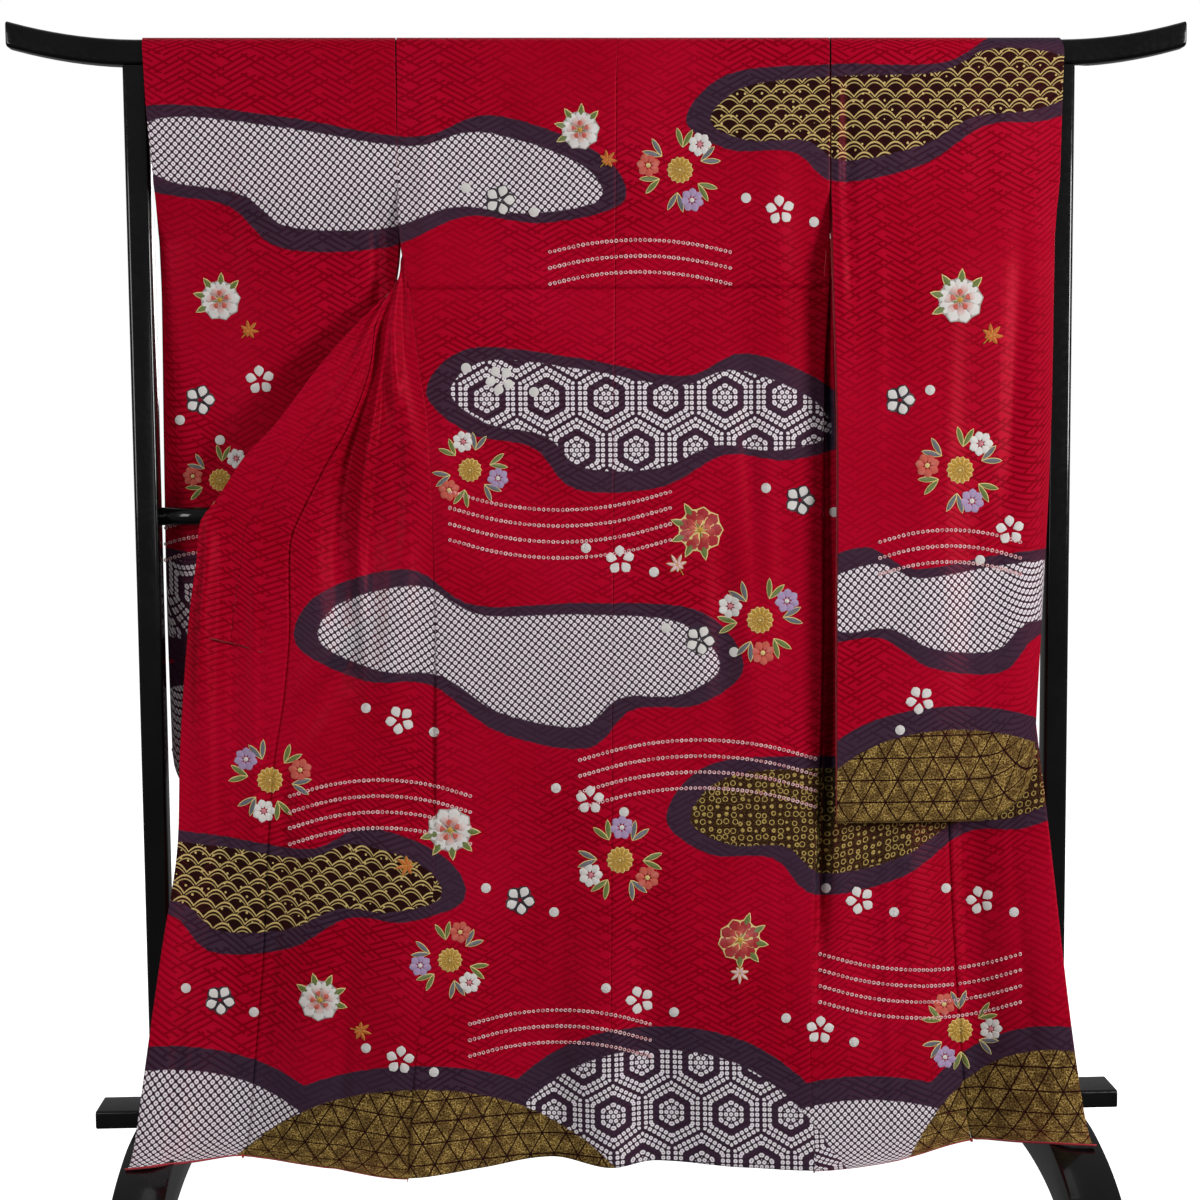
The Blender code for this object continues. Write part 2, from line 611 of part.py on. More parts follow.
def sleeve_point(table, folds, u, z, layer, bottom, sign):
    """A point of a sleeve's near or far layer: both are sewn together below the cuff's opening."""
    inner = smooth(table, "inner", z)
    x = inner + (smooth(table, "outer_" + layer, z) - inner) * u
    near, far = smooth(table, "near_y", z), smooth(table, "far_y", z)
    middle, half = (near + far) / 2, (far - near) / 2
    width = table[-1].outer_near - table[-1].inner
    sewn_side = 1.0 - math.exp(-(1.0 - u) * width / 0.05)
    above_cuff = min(max((z - CUFF_LOW_Z + 0.04) / 0.08, 0.0), 1.0)
    sewn_side += (1.0 - sewn_side) * above_cuff
    sewn_bottom = 1.0 - math.exp(-(z - bottom) / 0.06)
    half = SEWN_GAP / 2 + (half - SEWN_GAP / 2) * sewn_side * sewn_bottom
    free = min(max((WRAP_Z - 0.020 - z) / 0.040, 0.0), 1.0)
    y = middle + (half if layer == "far" else -half) - folds_at(folds, x, z) * free
    return sign * x, y, z


def with_directions(rings, sign):
    """Gives each point of a sleeve its outward direction, from its neighbours round and along."""
    turned = []
    last = len(rings[0]) - 1
    for i, ring in enumerate(rings):
        after, before = rings[(i + 1) % len(rings)], rings[i - 1]
        row = []
        for j, point in enumerate(ring):
            here = Vector(point)
            across = (Vector(ring[min(j + 1, last)]) - here).normalized()
            across += (here - Vector(ring[max(j - 1, 0)])).normalized()
            round_it = (Vector(after[j]) - here).normalized() + (here - Vector(before[j])).normalized()
            out = round_it.cross(across) * -sign
            if j == 0:
                out.x = 0.0
            row.append((point, out.normalized()))
        turned.append(row)
    return turned


def make_sleeve(name, table, folds, sign):
    """Rings over the bar and round the bottom, from the armhole's edge to the cuff's."""
    grid = []
    for u in SLEEVE_SHARES:
        bottom = sleeve_bottom(table, u) + SEWN_GAP / 2
        levels = [bottom, bottom + 0.02, bottom + 0.06]
        levels += spread(8, bottom + 0.13, 1.30) + [1.36, 1.40, 1.44, 1.47, 1.50, 1.56, 1.62, 1.66]
        near = [sleeve_point(table, folds, u, z, "near", bottom, sign) for z in levels]
        far = [sleeve_point(table, folds, u, z, "far", bottom, sign) for z in reversed(levels)]
        inner = table[0].inner
        over = []
        for along in [share * WRAP for share in BAR_SHARES]:
            y, z = over_bar(along)
            outer = table[0].outer_near + (table[0].outer_far - table[0].outer_near) * along / WRAP
            over.append((sign * (inner + (outer - inner) * u), y, z))
        x, y_near, z = near[0]
        y_far = far[-1][1]
        turn = []
        for angle in (0.25 * math.pi, 0.5 * math.pi, 0.75 * math.pi):
            reach = (y_far - y_near) / 2
            turn.append((x, (y_near + y_far) / 2 + reach * math.cos(angle), z - reach * math.sin(angle)))
        grid.append(near + over + far + turn)
    rings = [list(ring) for ring in zip(*grid)]
    return cloth(name, with_directions(rings, sign), closed=True, flip=sign < 0)


def take(piece, finish):
    """Moves a piece into the object's collection and gives it its finish."""
    for owner in list(piece.users_collection):
        owner.objects.unlink(piece)
    COLLECTION.objects.link(piece)
    piece.data.materials.clear()
    piece.data.materials.append(finish)


def rounded(piece, width, segments=2):
    weld = piece.modifiers.new("weld", "WELD")
    weld.merge_threshold = 0.0001
    bevel = piece.modifiers.new("rounding", "BEVEL")
    bevel.width = width
    bevel.segments = segments
    bevel.limit_method = "ANGLE"
    bevel.angle_limit = math.radians(40)


def make_block(name, centre, size, round_width=EDGE_ROUND):
    bpy.ops.mesh.primitive_cube_add(size=1.0, location=centre)
    piece = bpy.context.object
    piece.name = name
    piece.data.transform(Matrix.Diagonal((*size, 1.0)))
    rounded(piece, round_width)
    take(piece, LACQUER)
    return piece


def make_outline(name, points, thickness, rotation, location=(0.0, 0.0, 0.0), round_width=EDGE_ROUND):
    """A flat outline with a thickness, turned into place."""
    outline = bpy.data.curves.new(name, "CURVE")
    outline.dimensions = "2D"
    outline.fill_mode = "BOTH"
    outline.extrude = thickness / 2
    spline = outline.splines.new("POLY")
    spline.points.add(len(points) - 1)
    for place, (x, y) in zip(spline.points, points):
        place.co = (x, y, 0.0, 1.0)
    spline.use_cyclic_u = True
    piece = bpy.data.objects.new(name, outline)
    bpy.context.scene.collection.objects.link(piece)
    piece.rotation_euler = rotation
    piece.location = location
    rounded(piece, round_width)
    take(piece, LACQUER)
    return piece


def bar_rise(x):
    """The bar's ends curve upwards."""
    beyond = max(0.0, abs(x) - BAR_STRAIGHT) / (BAR_HALF_LENGTH - BAR_STRAIGHT)
    return BAR_TIP_RISE * beyond**2


def bar_section():
    """The bar's section with round corners, from its rear upper corner: (y, z) from its middle."""
    section = []
    half_y, half_z = BAR_DEPTH / 2 - BAR_ROUND, BAR_HEIGHT / 2 - BAR_ROUND
    for i, (y, z) in enumerate(((half_y, half_z), (-half_y, half_z), (-half_y, -half_z), (half_y, -half_z))):
        for step in range(3):
            angle = (i + step / 2) * math.pi / 2
            section.append((y + BAR_ROUND * math.cos(angle), z + BAR_ROUND * math.sin(angle)))
    return section


def make_bar():
    """The section swept along the bar, which narrows a little at the very tips."""
    tips = spread(6, BAR_STRAIGHT, BAR_HALF_LENGTH - BAR_TIP_ROUND) + [BAR_HALF_LENGTH]
    mesh = bmesh.new()
    rings = []
    for x in [-x for x in reversed(tips)] + tips:
        scale = BAR_TIP_SCALE if abs(x) == BAR_HALF_LENGTH else 1.0
        level = BAR_Z + bar_rise(x)
        rings.append([mesh.verts.new((x, y * scale, level + z * scale)) for y, z in bar_section()])
    for ring, after in zip(rings, rings[1:]):
        for i in range(len(ring)):
            mesh.faces.new([ring[i - 1], ring[i], after[i], after[i - 1]])
    mesh.faces.new(list(reversed(rings[-1])))
    mesh.faces.new(rings[0])
    bmesh.ops.recalc_face_normals(mesh, faces=mesh.faces)
    data = bpy.data.meshes.new("top_bar")
    mesh.to_mesh(data)
    mesh.free()
    piece = bpy.data.objects.new("top_bar", data)
    COLLECTION.objects.link(piece)
    data.materials.append(LACQUER)


FootRow = namedtuple("FootRow", "y z")
FOOT_TOP = (
    FootRow(0.000, 0.1257),
    FootRow(0.040, 0.1257),
    FootRow(0.100, 0.1220),
    FootRow(0.150, 0.1120),
    FootRow(0.200, 0.0970),
    FootRow(0.250, 0.0730),
    FootRow(0.290, 0.0430),
    FootRow(0.312, 0.0160),
)


def foot_outline():
    """A low arch seen from its side: it falls from under the base rail to a toe at each end."""
    rise = [(y, smooth(FOOT_TOP, "z", y)) for y in spread(14, 0.0, FOOT_TOP[-1].y)]
    inside = FOOT_HALF_LENGTH - FOOT_PAD
    under = [(inside * math.cos(a), FOOT_ARCH * math.sin(a)) for a in spread(9, 0.0, math.pi / 2)]
    half = rise + [(FOOT_HALF_LENGTH, 0.0)] + under
    mirrored = [(-y, z) for y, z in reversed(half[1:-1])]
    return half + mirrored


def make_stand():
    make_bar()
    make_block(
        "base_rail",
        (0.0, 0.0, BASE_TOP - BASE_HEIGHT / 2),
        (2 * BASE_HALF_LENGTH, BASE_DEPTH, BASE_HEIGHT),
        0.004,
    )
    post_low = BASE_TOP + SEAM_GAP
    post_high = BAR_Z - BAR_HEIGHT / 2 - SEAM_GAP
    for name, sign in (("left", -1), ("right", 1)):
        make_block(
            "post_" + name,
            (sign * POST_X, 0.0, (post_low + post_high) / 2),
            (POST_SIDE, POST_SIDE, post_high - post_low),
            0.006,
        )
        make_outline(
            "foot_" + name,
            foot_outline(),
            FOOT_WIDTH,
            (math.pi / 2, 0.0, math.pi / 2),
            (sign * POST_X, 0.0, 0.0),
            0.004,
        )
    bpy.ops.mesh.primitive_cylinder_add(
        vertices=20,
        radius=RAIL_RADIUS,
        depth=2 * (POST_X - POST_SIDE / 2 - SEAM_GAP),
        location=(0.0, 0.0, RAIL_Z),
        rotation=(0.0, math.pi / 2, 0.0),
    )
    rail = bpy.context.object
    rail.name = "mid_rail"
    take(rail, LACQUER)


for old in list(bpy.data.objects):
    bpy.data.objects.remove(old, do_unlink=True)
COLLECTION = bpy.data.collections.new(OBJECT_NAME)
bpy.context.scene.collection.children.link(COLLECTION)
SILK = material(CRIMSON_SILK)
LACQUER = material(BLACK_LACQUER)

make_stand()
make_body("body_left", LEFT_FRONT, LEFT_FRONT_FOLDS, "left", -1)
make_body("body_right", RIGHT_FRONT, RIGHT_FRONT_FOLDS, "right", 1)
make_overlap("overlap_left", LEFT_FRONT, LEFT_FRONT_FOLDS, "left", -1)
make_overlap("overlap_right", RIGHT_FRONT, RIGHT_FRONT_FOLDS, "right", 1)
make_collar("collar")
make_sleeve("sleeve_left", LEFT_SLEEVE, LEFT_SLEEVE_FOLDS, -1)
make_sleeve("sleeve_right", RIGHT_SLEEVE, RIGHT_SLEEVE_FOLDS, 1)
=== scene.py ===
"""A furisode kimono hung back to front on a black lacquered stand, dressed for the camera.

Metres, +Z up. The panels are thin shells on curves of the same form as the solids they replace.
"""

import math
from collections import namedtuple

import bmesh
import bpy
import numpy as np
from mathutils import Matrix, Vector
from mathutils.bvhtree import BVHTree


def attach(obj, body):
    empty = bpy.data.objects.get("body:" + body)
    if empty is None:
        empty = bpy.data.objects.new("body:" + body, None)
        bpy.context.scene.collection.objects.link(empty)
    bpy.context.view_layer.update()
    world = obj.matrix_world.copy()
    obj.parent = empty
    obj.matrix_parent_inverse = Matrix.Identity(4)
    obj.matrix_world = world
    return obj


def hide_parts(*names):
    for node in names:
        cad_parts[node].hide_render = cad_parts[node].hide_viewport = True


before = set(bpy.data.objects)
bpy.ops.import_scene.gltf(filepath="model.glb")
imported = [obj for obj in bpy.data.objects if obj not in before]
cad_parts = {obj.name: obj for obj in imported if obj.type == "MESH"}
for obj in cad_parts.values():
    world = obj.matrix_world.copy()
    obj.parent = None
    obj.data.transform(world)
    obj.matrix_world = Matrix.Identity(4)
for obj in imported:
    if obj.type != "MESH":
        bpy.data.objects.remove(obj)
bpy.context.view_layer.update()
ROOT = "root"

# The stand.
POST_X = 0.665
POST_SIDE = 0.035
BAR_Z = 1.685
BAR_HEIGHT = 0.036
BAR_DEPTH = 0.032
BAR_HALF_LENGTH = 0.845
BAR_STRAIGHT = 0.66
BAR_TIP_RISE = 0.026
RAIL_Z = 1.026
RAIL_RADIUS = 0.013
BASE_TOP = 0.153
BASE_HEIGHT = 0.027
BASE_DEPTH = 0.070
BASE_HALF_LENGTH = 0.760
FOOT_WIDTH = 0.074
FOOT_HALF_LENGTH = 0.320
FOOT_PAD = 0.105
FOOT_ARCH = 0.055
JOINT_GAP = 0.0003

# The cloth.
CLOTH_THICK = 0.0011
SEAM_GAP = 0.0001
SEAM_ROLL = 0.0016
SEAM_ALLOWANCE = 0.0060
# Both allowances of a seam are pressed to the same side by this share.
SEAM_PRESSED = 0.30
CENTRE_X_TOP = 0.020
CENTRE_LEAN = 0.015
SHOULDER_WRAP = 0.0205
WRAP_RISE = 0.0200
WRAP_Z = BAR_Z + 0.001
WRAP_POWER = 2.0 / 3.6
TUCK_Z = 1.355
TUCK_DEPTH = 0.003
PLEATS = 2
HEM_LEVEL = 0.080
HEM_SWING_TOP = 1.05
HEM_FROM = 0.72
HEM_BLEND = 0.25
COLLAR_END = 0.70
GATHER_COLLAR = 0.36
SEAM_CALM = 0.9
SEAM_REACH = 0.045
OVERLAP_START = 0.41
SLEEVE_CORNER = 0.085
CUFF_LOW_Z = 1.460
SEWN_GAP = 0.0052
OVERLAP_WIDTH = 0.16
COLLAR_WIDTH = 0.11
SLEEVE_LENGTH = 2.24
# How far the cloth turns in beside a plain seam, an overlap's seam and an overlap's free edge.
SEAM_DIP = 0.0009
OVERLAP_DIP = 0.0044
FREE_DIP = 0.0010


def rows_of(kind, *rows):
    """Rows of numbers under the names of one kind of row."""
    return tuple(kind(*row) for row in rows)


SideRow = namedtuple("SideRow", "z left right")
SIDE_SEAMS = rows_of(
    SideRow,
    (1.690, -0.294, 0.325),
    (1.435, -0.294, 0.325),
    (1.335, -0.279, 0.3225),
    (1.235, -0.268, 0.317),
    (1.150, -0.257, 0.315),
    (0.750, -0.250, 0.311),
    (0.475, -0.259, 0.298),
    (0.270, -0.282, 0.288),
    (0.050, -0.300, 0.293),
)

HangRow = namedtuple("HangRow", "z y")
BACK_HANG = rows_of(
    HangRow,
    (1.690, -0.0205),
    (1.400, -0.0300),
    (1.030, -0.0340),
    (0.600, -0.0450),
    (0.150, -0.0600),
    (0.050, -0.0660),
)

# The hem swings to and fro in depth, so its line rises and falls.
HemRow = namedtuple("HemRow", "x z y")
HEM = rows_of(
    HemRow,
    (-0.705, 0.113, -0.168),
    (-0.640, 0.116, -0.158),
    (-0.604, 0.107, -0.122),
    (-0.541, 0.096, -0.074),
    (-0.408, 0.080, -0.090),
    (-0.300, 0.073, -0.118),
    (-0.196, 0.077, -0.095),
    (-0.088, 0.085, -0.076),
    (-0.005, 0.075, -0.100),
    (0.062, 0.078, -0.082),
    (0.186, 0.073, -0.104),
    (0.303, 0.071, -0.118),
    (0.406, 0.077, -0.104),
    (0.532, 0.096, -0.074),
    (0.590, 0.108, -0.118),
    (0.640, 0.118, -0.158),
    (0.705, 0.117, -0.168),
)

# Soft folds down the back: a positive depth is a ridge towards -Y.
FoldRow = namedtuple("FoldRow", "x_top x_low z_top z_low width depth")
BACK_FOLDS = rows_of(
    FoldRow,
    (-0.256, -0.262, 1.760, 1.150, 0.022, 0.004),
    (-0.141, -0.150, 1.760, 1.420, 0.030, -0.004),
    (0.100, 0.120, 1.760, 1.460, 0.040, -0.003),
    (0.235, 0.262, 1.760, 0.900, 0.030, 0.005),
    (0.165, 0.172, 1.100, 0.640, 0.018, -0.006),
    (0.205, 0.215, 1.120, 0.500, 0.022, 0.005),
    (-0.120, -0.180, 0.700, 0.020, 0.050, -0.006),
    (0.090, 0.120, 0.620, 0.020, 0.045, 0.006),
    (-0.040, -0.045, 0.480, 0.020, 0.040, 0.004),
)

# One row for each section of a front, from the shoulder to the hem: the side end, the front edge,
# how deep the gathers are, where the overlap's seam lies and how much of the row the collar takes.
FrontRow = namedtuple("FrontRow", "at side_y side_z edge_x edge_y edge_z gather overlap collar")
LEFT_FRONT = rows_of(
    FrontRow,
    (0.00, 0.0205, 1.676, -0.038, 0.0205, 1.636, 0.000, 0.83, 0.17),
    (0.06, 0.0220, 1.640, -0.060, 0.0260, 1.590, 0.002, 0.78, 0.22),
    (0.13, 0.0280, 1.570, -0.110, 0.0360, 1.530, 0.006, 0.74, 0.26),
    (0.20, 0.0300, 1.490, -0.170, 0.0440, 1.455, 0.0060, 0.69, 0.31),
    (0.26, 0.0220, 1.440, -0.235, 0.0400, 1.400, 0.0045, 0.66, 0.34),
    (0.31, -0.0040, 1.410, -0.288, 0.0120, 1.366, 0.0030, 0.64, 0.36),
    (0.35, -0.0295, 1.385, -0.3055, -0.0220, 1.345, 0.0012, 0.62, 0.38),
    (0.40, -0.0310, 1.320, -0.360, -0.0340, 1.296, 0.0040, 0.60, 0.40),
    (0.45, -0.0320, 1.235, -0.409, -0.0400, 1.242, 0.004, 0.50, 0.37),
    (0.50, -0.0330, 1.150, -0.475, -0.0430, 1.157, 0.003, 0.525, 0.27),
    (0.54, -0.0335, 1.080, -0.519, -0.0430, 1.112, 0.002, 0.566, 0.23),
    (0.58, -0.0340, 1.000, -0.560, -0.0400, 1.052, 0.001, 0.61, 0.21),
    (0.61, -0.0350, 0.945, -0.585, -0.0390, 1.018, 0.000, 0.615, 0.19),
    (0.64, -0.0365, 0.880, -0.591, -0.0400, 0.965, 0.000, 0.615, 0.18),
    (0.68, -0.0390, 0.800, -0.601, -0.0420, 0.900, 0.000, 0.60, 0.17),
    (0.73, -0.0420, 0.695, -0.612, -0.0440, 0.800, 0.000, 0.61, 0.17),
    (0.78, -0.0450, 0.600, -0.620, -0.0460, 0.690, 0.000, 0.64, 0.17),
    (0.84, -0.0490, 0.450, -0.625, -0.0490, 0.545, 0.000, 0.655, 0.17),
    (0.89, -0.0530, 0.330, -0.647, -0.0520, 0.410, 0.000, 0.625, 0.17),
    (0.95, -0.0570, 0.180, -0.674, -0.0560, 0.235, 0.000, 0.614, 0.17),
    (1.00, -0.0660, 0.068, -0.694, -0.0600, 0.075, 0.000, 0.612, 0.17),
)
RIGHT_FRONT = rows_of(
    FrontRow,
    (0.00, 0.0205, 1.676, 0.078, 0.0205, 1.636, 0.000, 0.83, 0.17),
    (0.06, 0.0170, 1.640, 0.100, 0.0240, 1.590, 0.002, 0.78, 0.22),
    (0.13, 0.0120, 1.570, 0.150, 0.0320, 1.530, 0.006, 0.74, 0.26),
    (0.20, 0.0040, 1.490, 0.210, 0.0340, 1.455, 0.0060, 0.69, 0.31),
    (0.26, -0.0080, 1.440, 0.318, 0.0220, 1.400, 0.0045, 0.66, 0.34),
    (0.31, -0.0200, 1.410, 0.332, 0.0010, 1.366, 0.0028, 0.64, 0.36),
    (0.35, -0.0295, 1.385, 0.345, -0.0160, 1.340, 0.0018, 0.62, 0.38),
    (0.40, -0.0310, 1.320, 0.390, -0.0230, 1.290, 0.0030, 0.60, 0.40),
    (0.45, -0.0320, 1.235, 0.440, -0.0250, 1.235, 0.003, 0.50, 0.37),
    (0.50, -0.0330, 1.150, 0.500, -0.0260, 1.160, 0.002, 0.525, 0.27),
    (0.58, -0.0340, 1.000, 0.575, -0.0270, 1.050, 0.001, 0.60, 0.21),
    (0.64, -0.0360, 0.880, 0.600, -0.0290, 0.965, 0.000, 0.61, 0.18),
    (0.73, -0.0410, 0.695, 0.622, -0.0340, 0.780, 0.000, 0.60, 0.17),
    (0.84, -0.0490, 0.450, 0.645, -0.0430, 0.535, 0.000, 0.590, 0.17),
    (0.92, -0.0550, 0.255, 0.666, -0.0520, 0.300, 0.000, 0.600, 0.17),
    (1.00, -0.0660, 0.068, 0.692, -0.0600, 0.080, 0.000, 0.605, 0.17),
)

# Folds of the fronts, by the share of the row from the side seam to the front edge.
FrontFold = namedtuple("FrontFold", "u_top u_low at_top at_low width depth")
LEFT_FRONT_FOLDS = rows_of(
    FrontFold,
    (0.30, 0.10, 0.385, 0.56, 0.09, 0.014),
    (0.10, 0.24, 0.54, 0.76, 0.07, 0.013),
    (0.55, 0.22, 0.40, 0.52, 0.08, -0.009),
    (0.26, 0.38, 0.50, 0.74, 0.08, -0.010),
    (0.60, 0.61, 0.46, 0.97, 0.035, -0.006),
    (0.94, 0.86, 0.57, 0.86, 0.055, 0.009),
    (0.87, 0.74, 0.57, 0.83, 0.050, -0.010),
    (0.76, 0.66, 0.60, 0.95, 0.045, 0.006),
    (0.45, 0.40, 0.76, 1.04, 0.090, 0.008),
)
RIGHT_FRONT_FOLDS = rows_of(
    FrontFold,
    (0.30, 0.24, 0.44, 0.80, 0.08, 0.006),
    (0.70, 0.68, 0.60, 0.98, 0.05, -0.006),
    (0.40, 0.44, 0.72, 1.04, 0.09, 0.008),
)

# The neck's part of the collar, from the middle of the back outwards: how far out its seam and its
# free edge lie, and how far along the wrap over the bar.
NeckRow = namedtuple("NeckRow", "seam_out seam_along free_out free_along")
NECK = rows_of(
    NeckRow,
    (0.000, 0.0150, 0.000, 0.106),
    (0.035, 0.0165, 0.020, 0.106),
    (0.062, 0.0210, 0.034, 0.107),
    (0.076, 0.0290, 0.044, 0.108),
    (0.084, 0.0430, 0.050, 0.109),
    (0.087, 0.0500, 0.052, 0.110),
    (0.089, 0.0570, 0.053, 0.1105),
    (0.092, 0.0690, 0.056, 0.111),
)
# A sleeve is one length of cloth folded over the bar: z, then the depth of the layer towards -Y
# and of the layer behind it, then the inner and the outer edge, outwards from the posts' middle.
SleeveRow = namedtuple("SleeveRow", "z near_y far_y inner outer_near outer_far")
LEFT_SLEEVE = rows_of(
    SleeveRow,
    (1.690, -0.0205, 0.0205, 0.2960, 0.652, 0.652),
    (1.600, -0.0228, 0.0255, 0.2960, 0.648, 0.644),
    (1.500, -0.0264, 0.0300, 0.2952, 0.640, 0.640),
    (1.440, -0.0150, 0.0310, 0.2950, 0.640, 0.640),
    (1.400, -0.0090, 0.0318, 0.2965, 0.640, 0.640),
    (1.340, 0.0000, 0.0330, 0.3045, 0.640, 0.640),
    (1.120, 0.0190, 0.0400, 0.3100, 0.645, 0.645),
    (0.900, 0.0210, 0.0420, 0.3120, 0.647, 0.647),
    (0.700, 0.0230, 0.0400, 0.3140, 0.645, 0.645),
    (0.585, 0.0250, 0.0360, 0.3150, 0.642, 0.642),
)
RIGHT_SLEEVE = rows_of(
    SleeveRow,
    (1.690, -0.0205, 0.0205, 0.3272, 0.664, 0.646),
    (1.600, -0.0228, 0.0142, 0.3272, 0.661, 0.645),
    (1.500, -0.0264, 0.0050, 0.3268, 0.658, 0.645),
    (1.440, -0.0440, -0.0200, 0.3256, 0.650, 0.646),
    (1.370, -0.0620, -0.0450, 0.3245, 0.644, 0.643),
    (1.120, -0.0680, -0.0500, 0.3310, 0.640, 0.640),
    (0.870, -0.0760, -0.0580, 0.3290, 0.628, 0.628),
    (0.700, -0.0840, -0.0680, 0.3280, 0.618, 0.618),
    (0.575, -0.0900, -0.0780, 0.3270, 0.612, 0.612),
)
SleeveFold = namedtuple("SleeveFold", "out_top out_low z_top z_low width depth")
LEFT_SLEEVE_FOLDS = rows_of(
    SleeveFold,
    (0.326, 0.324, 1.530, 1.220, 0.007, -0.007),
    (0.470, 0.455, 1.600, 1.150, 0.040, 0.005),
    (0.560, 0.575, 1.500, 0.900, 0.035, -0.005),
)
RIGHT_SLEEVE_FOLDS = rows_of(
    SleeveFold,
    (0.352, 0.350, 1.740, 1.300, 0.007, -0.006),
    (0.338, 0.338, 1.660, 1.250, 0.005, 0.004),
    (0.600, 0.575, 1.520, 0.900, 0.014, -0.006),
    (0.450, 0.470, 1.500, 0.700, 0.050, 0.006),
    (0.540, 0.520, 1.150, 0.620, 0.030, -0.006),
)

FootRow = namedtuple("FootRow", "y z")
FOOT_TOP = rows_of(
    FootRow,
    (0.000, 0.1257),
    (0.040, 0.1257),
    (0.100, 0.1220),
    (0.150, 0.1120),
    (0.200, 0.0970),
    (0.250, 0.0730),
    (0.290, 0.0430),
    (0.312, 0.0160),
)


# Curves and surfaces, in the same form as the solids', for whole arrays of points at once.
def smooth(table, column, at, key=0):
    """The values of a named column on the smooth curve through a table's rows."""
    keys = np.array([row[key] for row in table], float)
    values = np.array([getattr(row, column) for row in table], float)
    if keys[0] > keys[-1]:
        keys, values = keys[::-1], values[::-1]
    at = np.clip(at, keys[0], keys[-1])
    last = len(keys) - 1
    slopes = np.empty(last + 1)
    for j in range(last + 1):
        low, high = max(j - 1, 0), min(j + 1, last)
        slopes[j] = (values[high] - values[low]) / (keys[high] - keys[low])
    i = np.clip(np.searchsorted(keys, at, side="right") - 1, 0, last - 1)
    span = keys[i + 1] - keys[i]
    t = (at - keys[i]) / span
    rise = t * t * (3 - 2 * t)
    lead = t * (1 - t) * ((1 - t) * slopes[i] - t * slopes[i + 1]) * span
    return values[i] + (values[i + 1] - values[i]) * rise + lead


def bell(distance, width):
    return np.exp(-((distance / width) ** 2))


def window(at, start, end):
    """Rises from 0 at start to 1 midway and falls to 0 at end."""
    share = np.clip((at - start) / (end - start), 0.0, 1.0)
    return np.sin(math.pi * share) ** 1.5


def centre_x(z):
    return CENTRE_X_TOP - CENTRE_LEAN * (1.70 - z)


def wrap_curve():
    """The wrap over the bar as points by their length from its front: (lengths, y, z)."""
    angle = np.linspace(0.0, math.pi, 400)
    c, s = np.cos(angle), np.sin(angle)
    y = -SHOULDER_WRAP * np.sign(c) * np.abs(c) ** WRAP_POWER
    z = WRAP_Z + WRAP_RISE * np.abs(s) ** WRAP_POWER
    lengths = np.concatenate(([0.0], np.cumsum(np.hypot(np.diff(y), np.diff(z)))))
    return lengths, y, z


WRAP_LENGTHS, WRAP_Y, WRAP_HIGH = wrap_curve()
WRAP = WRAP_LENGTHS[-1]


def over_bar(along):
    """Points of the wrap over the bar, by the length from its front: (y, z)."""
    y = np.interp(along, WRAP_LENGTHS, WRAP_Y)
    z = np.interp(along, WRAP_LENGTHS, WRAP_HIGH)
    return y, z + np.minimum(along, 0.0) - np.maximum(along - WRAP, 0.0)


def folds_at(folds, x, z):
    """How far the folds stand out towards -Y at points of a hanging sheet."""
    out = np.zeros(np.broadcast(x, z).shape)
    for fold in folds:
        top, low = fold[2], fold[3]
        share = np.clip((top - z) / (top - low), 0.0, 1.0)
        middle = fold[0] + (fold[1] - fold[0]) * share
        out += fold.depth * bell(x - middle, fold.width) * window(z, top, low)
    return out


def hem_swing(x, z):
    """The hem's swing in depth, which dies out upwards."""
    fade = np.clip((HEM_SWING_TOP - z) / (HEM_SWING_TOP - HEM_LEVEL), 0.0, 1.0) ** 2
    return (smooth(HEM, "y", x) - BACK_HANG[-1].y) * fade


def ripple(a, b, size, seed):
    """Soft uneven ripples between about -1 and 1, over two lengths."""
    out = np.zeros(np.broadcast(a, b).shape)
    chance = np.random.default_rng(seed)
    for octave in (1.0, 1.9, 3.1):
        for _ in range(4):
            turn = chance.uniform(0.0, 2 * math.pi)
            lean = chance.uniform(-0.55, 0.55)
            phase = chance.uniform(0.0, 2 * math.pi)
            wave = 2 * math.pi * octave / size
            out += np.sin(wave * (a * math.cos(lean) + b * math.sin(lean) * 0.35) + phase + turn) / octave
    return out / 5.0


def back_y(x, z):
    """The depth of the back's outer face."""
    hang = smooth(BACK_HANG, "y", z)
    y = hang - folds_at(BACK_FOLDS, x, z) + hem_swing(x, z) - folds_at(BACK_CREASES, x, z)
    y -= TUCK_DEPTH * bell(z - TUCK_Z, 0.006) * 1.3
    y += 0.0022 * bell(z - TUCK_Z + 0.0085, 0.0022)
    y -= 0.0011 * ripple(x, z, 0.16, 5)
    free = np.clip((WRAP_Z - 0.020 - z) / 0.040, 0.0, 1.0)
    return y * free + hang * (1.0 - free)


def calm_at_seams(table, u, at):
    """Folds flatten where a front's seams cross them."""
    calm = 1.0 - SEAM_CALM * bell(u - smooth(table, "overlap", at), SEAM_REACH)
    fade = np.clip((COLLAR_END - at) / 0.05, 0.0, 1.0)
    collar = 1.0 - SEAM_CALM * fade * bell(u - 1.0 + smooth(table, "collar", at), SEAM_REACH)
    return calm * collar


def front_base(table, side, u, at):
    """Points of a front before its folds. u runs from the side seam to the front edge."""
    side_z = smooth(table, "side_z", at)
    side_x = smooth(SIDE_SEAMS, side, side_z)
    side_y = smooth(table, "side_y", at)
    x = side_x + (smooth(table, "edge_x", at) - side_x) * u
    y = side_y + (smooth(table, "edge_y", at) - side_y) * u
    z = side_z + (smooth(table, "edge_z", at) - side_z) * u
    return np.stack((x, y, z), axis=-1)


